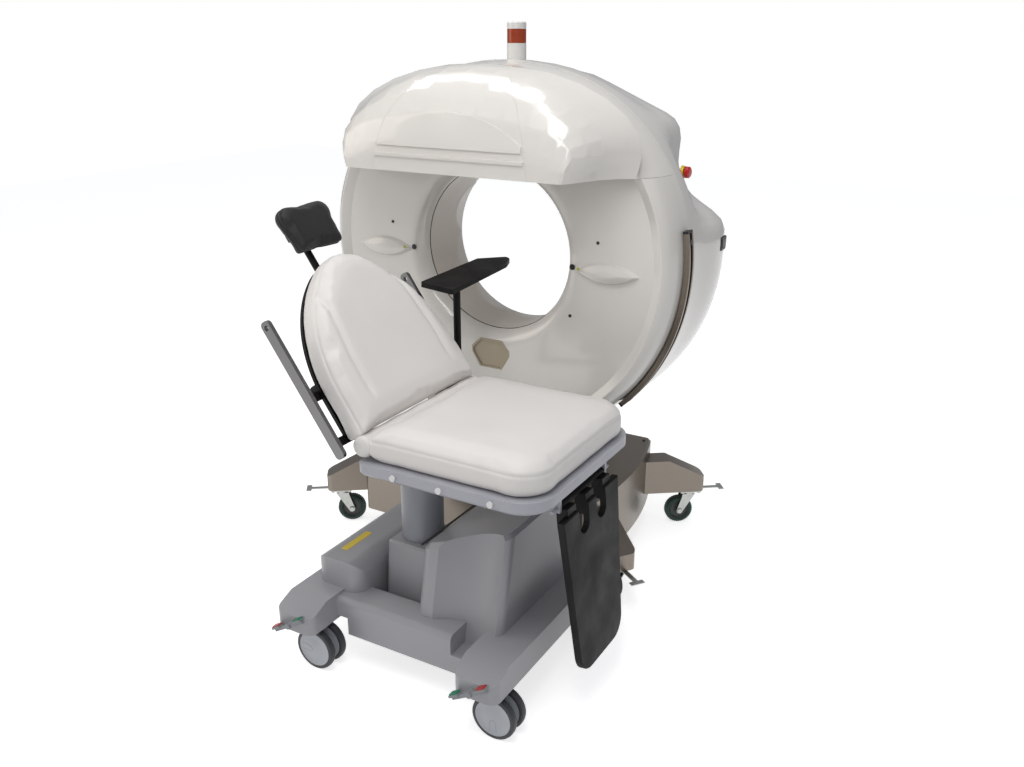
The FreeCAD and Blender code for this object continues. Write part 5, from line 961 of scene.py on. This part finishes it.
# %% Gantry wheels
RIB_COUNT, NUT_OUT = 40, .0255          # nuts: metres from the wheel's middle plane
GREEN_TYRE = [(-.016, .0365), (-.016, .0435), (-.0135, .0472), (-.008, .0490),
              (.008, .0490), (.0135, .0472), (.016, .0435), (.016, .0365)]
CAST_HUB = [(-.0155, .0053), (-.0155, .012), (-.008, .015), (-.008, .031), (-.014, .0370),
            (.014, .0370), (.008, .031), (.008, .015), (.0155, .012), (.0155, .0053)]
AXLE_OF = {joint["child"]: Vector(joint["axis"]) for joint in frame["joints"]}
for corner in CORNERS:
    low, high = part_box(f"gantry_wheel_{corner}")
    centre, axis = (low + high) / 2, AXLE_OF[f"wheel_{corner}"]
    tyre = piece(f"gantry_tyre_{corner}", *turned(GREEN_TYRE, centre, axis, 64, closed=True),
                 tyre_green)
    hub = piece(f"gantry_hub_{corner}", *turned(CAST_HUB, centre, axis, 48, closed=True),
                hub_grey)
    ribs = grown(f"gantry_tyre_ribs_{corner}", RING_OF_BARS, points_mesh("ribs", []),
                 facing(centre, axis), Count=RIB_COUNT, Radius=.0489, Height=.0020,
                 Width=.0032, Length=.0200, Finish=tyre_green)
    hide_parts(f"gantry_wheel_{corner}")
    for part, slot in ((tyre, "green_tyre"), (hub, "castor_grey"), (ribs, "green_tyre")):
        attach(part, f"wheel_{corner}")
    nuts = grown(f"axle_nuts_{corner}", HEADS_ON_POINTS,
                 points_mesh("nuts", [centre + axis * NUT_OUT, centre - axis * NUT_OUT]),
                 Head_Radius=.0095, Head_Height=.0060, Sides=6, Facing=axis, Finish=zinc)
    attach(nuts, f"swivel_{corner}")
print("ribs on each gantry wheel:", RIB_COUNT)

# %% [markdown]
# ## Fasteners
# Rows of heads are the quickest way to give a machine its scale: four
# hexagon bolts under each castor plate, sockets in the cover screws, and
# small button heads on the deck of the base. One tree makes them all: it
# only needs to know where they are, which way they face and how big they are.

# %% Castor plate bolts
CASTOR_X, CASTOR_Y, PLATE_UNDER = .548, .312, .1257
ARM_TURN = math.radians(36)             # the base's legs from the X axis
BOLT_OFF = .0295                        # from the plate's middle, each way

bolt_spots = []
for x, y in ((1, -1), (1, 1), (-1, 1), (-1, -1)):
    outward = math.atan2(y * math.sin(ARM_TURN), x * math.cos(ARM_TURN))
    plate = Vector((x * CASTOR_X, y * CASTOR_Y, PLATE_UNDER + FLOOR))
    for along, aside in ((-1, -1), (-1, 1), (1, -1), (1, 1)):
        spot = Matrix.Rotation(outward, 3, "Z") @ Vector((along * BOLT_OFF, aside * BOLT_OFF, 0))
        bolt_spots.append(spot + plate)
plate_bolts = grown("castor_plate_bolts", HEADS_ON_POINTS, points_mesh("bolts", bolt_spots),
                    Head_Radius=.0062, Head_Height=.0046, Sides=6, Facing=(0, 0, -1),
                    Finish=zinc)
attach(plate_bolts, "gantry")

# %% Cover and deck screws
SCREWS = ((.378, 1.098), (-.378, 1.092), (.290, .860), (-.290, .860))
sockets = grown("cover_screw_sockets", HEADS_ON_POINTS,
                points_mesh("sockets", [(x, -.16515, z + FLOOR) for x, z in SCREWS]),
                Head_Radius=.0026, Head_Height=.0006, Sides=6, Facing=(0, -1, 0),
                Finish=black_plastic)
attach(sockets, "gantry")

DECK_SCREWS = ((.344, -.128), (-.344, -.128), (.387, .261), (-.387, .261), (.350, -.270),
               (-.350, -.270), (.320, .141), (-.320, .141))
deck_screws = grown("deck_screws", HEADS_ON_POINTS,
                    points_mesh("screws", [(x, y, .3012 + FLOOR) for x, y in DECK_SCREWS]),
                    Head_Radius=.0048, Head_Height=.0026, Sides=16, Facing=(0, 0, 1),
                    Finish=screw_steel)
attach(deck_screws, "gantry")
print("bolts:", len(bolt_spots), "deck screws:", len(DECK_SCREWS))

# %% [markdown]
# ## Small fittings
# Coloured pads tell the brake pedal's two ends apart, a plain yellow film
# lies on the left housing, and a black connector well sits in the right
# shoulder. Each is a thin piece that sits on what carries it. A bevelled box
# would do for some; one helper draws a plate with rounded corners, as they
# are punched or moulded.

# %% Slabs with soft edges
def slab(name, centre, size, place, material, corner=.003, edge=.0006):
    """Thin plate with rounded corners and a bevelled edge."""
    length, width, thick = size
    rim = []
    for cx, cy, start in ((1, 1, 0), (-1, 1, 90), (-1, -1, 180), (1, -1, 270)):
        for a in range(start, start + 91, 15):
            rim.append((cx * (length / 2 - corner) + corner * math.cos(math.radians(a)),
                        cy * (width / 2 - corner) + corner * math.sin(math.radians(a))))
    levels = ((0, 1), (thick - edge, 1), (thick, 1 - 2 * edge / width))    # height, share
    points = [place @ Vector((centre[0] + x * share, centre[1] + y * share, centre[2] + z))
              for z, share in levels for x, y in rim]
    count = len(rim)
    faces = [tuple(range(count)), tuple(range(2 * count, 3 * count))]
    for level in range(2):
        for i in range(count):
            j = (i + 1) % count
            faces.append((level * count + i, level * count + j,
                          (level + 1) * count + j, (level + 1) * count + i))
    return piece(name, points, faces, material)


# %% Pedal pads
ROCKER_TURN = Matrix.Rotation(math.radians(-30), 4, "Y")
ROCKER_Y, ROCKER_Z = -1.095, .164
PAD_OUT, PAD_SIZE = .045, (.029, .021, .0028)

for name, cx, ends in (("left", -.075, (("outer", pedal_red), ("inner", pedal_green))),
                       ("right", .509, (("inner", pedal_green), ("outer", pedal_red)))):
    place = Matrix.Translation((cx, ROCKER_Y, ROCKER_Z + FLOOR)) @ ROCKER_TURN
    for side, (end, colour) in zip((-1, 1), ends):
        pad = slab(f"pedal_pad_{name}_{end}", (side * PAD_OUT, -.016, .0101), PAD_SIZE,
                   place, colour, corner=.006, edge=.0010)
        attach(pad, f"brake_{name}")

# %% Yellow film
film = slab("plain_yellow_film", (-.051, -.835, .30015 + FLOOR), (.022, .118, .0004),
            Matrix.Identity(4), label_yellow, corner=.001, edge=.0001)
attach(film, "chair_base")
print("film on the left housing:", len(film.data.polygons), "faces")

# %% [markdown]
# ### Connector well
# The shoulder that carries the well is curved, so its place isn't typed: a
# ray is sent at the cover from outside, and where it lands gives the spot
# and the way that the skin faces there.

# %% Connector well
WELL_AIM = Vector((1.2, .20, .030))     # out to the right, level with the well


def skin_of(item):
    """Tree of an object's faces that a ray can be sent at."""
    return BVHTree.FromPolygons([v.co.copy() for v in item.data.vertices],
                                [tuple(p.vertices) for p in item.data.polygons])


spot, facing_out, _, _ = skin_of(nodes["ring_rear_cover"]).ray_cast(WELL_AIM, Vector((-1, 0, 0)))
facing_out = facing_out if facing_out.x > 0 else -facing_out
forward = (GANTRY_Y - facing_out * facing_out.y).normalized()
well_axes = Matrix((forward, facing_out.cross(forward), facing_out)).transposed().to_4x4()
well_place = Matrix.Translation(spot - facing_out * .002) @ well_axes
bezel = slab("connector_bezel", (0, 0, 0), (.052, .044, .0055), well_place, black_plastic,
             corner=.007, edge=.0012)
well = slab("connector_insert", (0, 0, .0053), (.038, .030, .0012), well_place, detector_paint,
            corner=.004, edge=.0004)
for part in (bezel, well):
    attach(part, "gantry")
print("connector well at", [round(v, 3) for v in spot])

# %% [markdown]
# ### Gasket, sleeve, painted shadow strip and lamps
# A grey gasket closes the joint at the bore's front, and a thin sleeve stands
# behind the liner's scallops. Along the chair's right housing a dark grey
# strip fills the gap by the column cover: painted shade, standing in for the
# shadow in that gap. Two green lamps sit beside the bore. The rings are turned
# about the bore's axis, which runs through the frame's origin.

# %% Gasket and sleeve
def ring(name, front, rear, inner, outer, material):
    """Plain ring round the bore's axis, from front to rear."""
    section = [(front, inner), (front, outer), (rear, outer), (rear, inner)]
    return piece(name, *turned(section, (0, 0, 0), GANTRY_Y, 128, closed=True), material)


gasket = ring("bore_gasket", -.1128, -.1096, .2637, .2656, rubber_and_painted_shade)
sleeve = ring("bore_sleeve", .024, .0942, .2702, .2716, gelcoat)
for part, slot in ((gasket, "black_plastic"), (sleeve, "liner_white")):
    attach(part, "gantry")
print("rings round the bore:", gasket.name, sleeve.name)

# %% Painted shadow strip and ready lamps
# A dark grey strip along the gap between the column cover and the right housing: painted shade,
# where there is only a shadow gap.
housing_seal = piece("housing_seal", *bar([(.2275, -.902 + .374 * i / 12, .3965 + FLOOR)
                                           for i in range(13)], .0034, 10), rubber_and_painted_shade)
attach(housing_seal, "chair_base")

led = grown("ready_lamps", HEADS_ON_POINTS,
            points_mesh("lamps", [(-.322, -.1802, -.015), (.322, -.1802, -.015)]),
            Head_Radius=.0042, Head_Height=.0030, Sides=20, Facing=(0, -1, 0),
            Finish=lamp_green)
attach(led, "gantry")
print("ready lamps:", len(led.data.polygons), "faces")

# %% Socket cap and lens flutes
cap_square = slab("socket_cap", (0, 0, 0), (.017, .017, .0040),
                  Matrix.Translation((.088, -.3418, .226 + FLOOR))
                  @ Matrix.Rotation(math.radians(90), 4, "X")
                  @ Matrix.Rotation(math.radians(45), 4, "Z"), pedal_steel, corner=.002)
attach(cap_square, "gantry")

low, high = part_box("stack_light_lens")
flutes = grown("lens_flutes", RING_OF_BARS, points_mesh("flutes", []),
               facing((low + high) / 2, Vector((0, 0, 1))),
               Count=44, Radius=.0290, Height=.0012, Width=.0018, Length=.0405,
               Finish=orange_lens)
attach(flutes, "gantry")
print("flutes:", len(flutes.data.polygons) // 6)

# %% [markdown]
# ## Stitches
# A row of stitches runs beside the seat's seam. Each could be placed by
# hand; instead a circle round the seat, at the height of the row, is shrunk
# on to the cushion's skin, and the bead tree lays one short thread every
# 7 mm along it.

# %% Stitches
STITCH_UP, STITCH_PROUD = .0085, .0003  # above the seam, and out of the skin
RING_STEPS, RING_ROUND = 240, .42

seat_skin = skin_of(seat_cushion)
row_middle = Vector((.40, CHAIR_Y, SEAT_SEAM + STITCH_UP))
seat_path = []
for i in range(RING_STEPS + 1):
    a = math.tau * i / RING_STEPS
    outside = row_middle + Vector((math.cos(a), math.sin(a), 0)) * RING_ROUND
    hit, normal, _, _ = seat_skin.ray_cast(outside, (row_middle - outside).normalized())
    if hit is not None:
        seat_path.append(hit + normal * STITCH_PROUD)
seat_stitches = grown("seat_stitches", BEADS_ALONG, points_mesh("row", seat_path, True),
                      Spacing=.0070, Bead_Radius=.0005, Bead_Length=.0048, Sides=6,
                      Finish=thread_white)
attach(seat_stitches, "seat")
print("stitches:", len(seat_stitches.data.polygons) // 8)
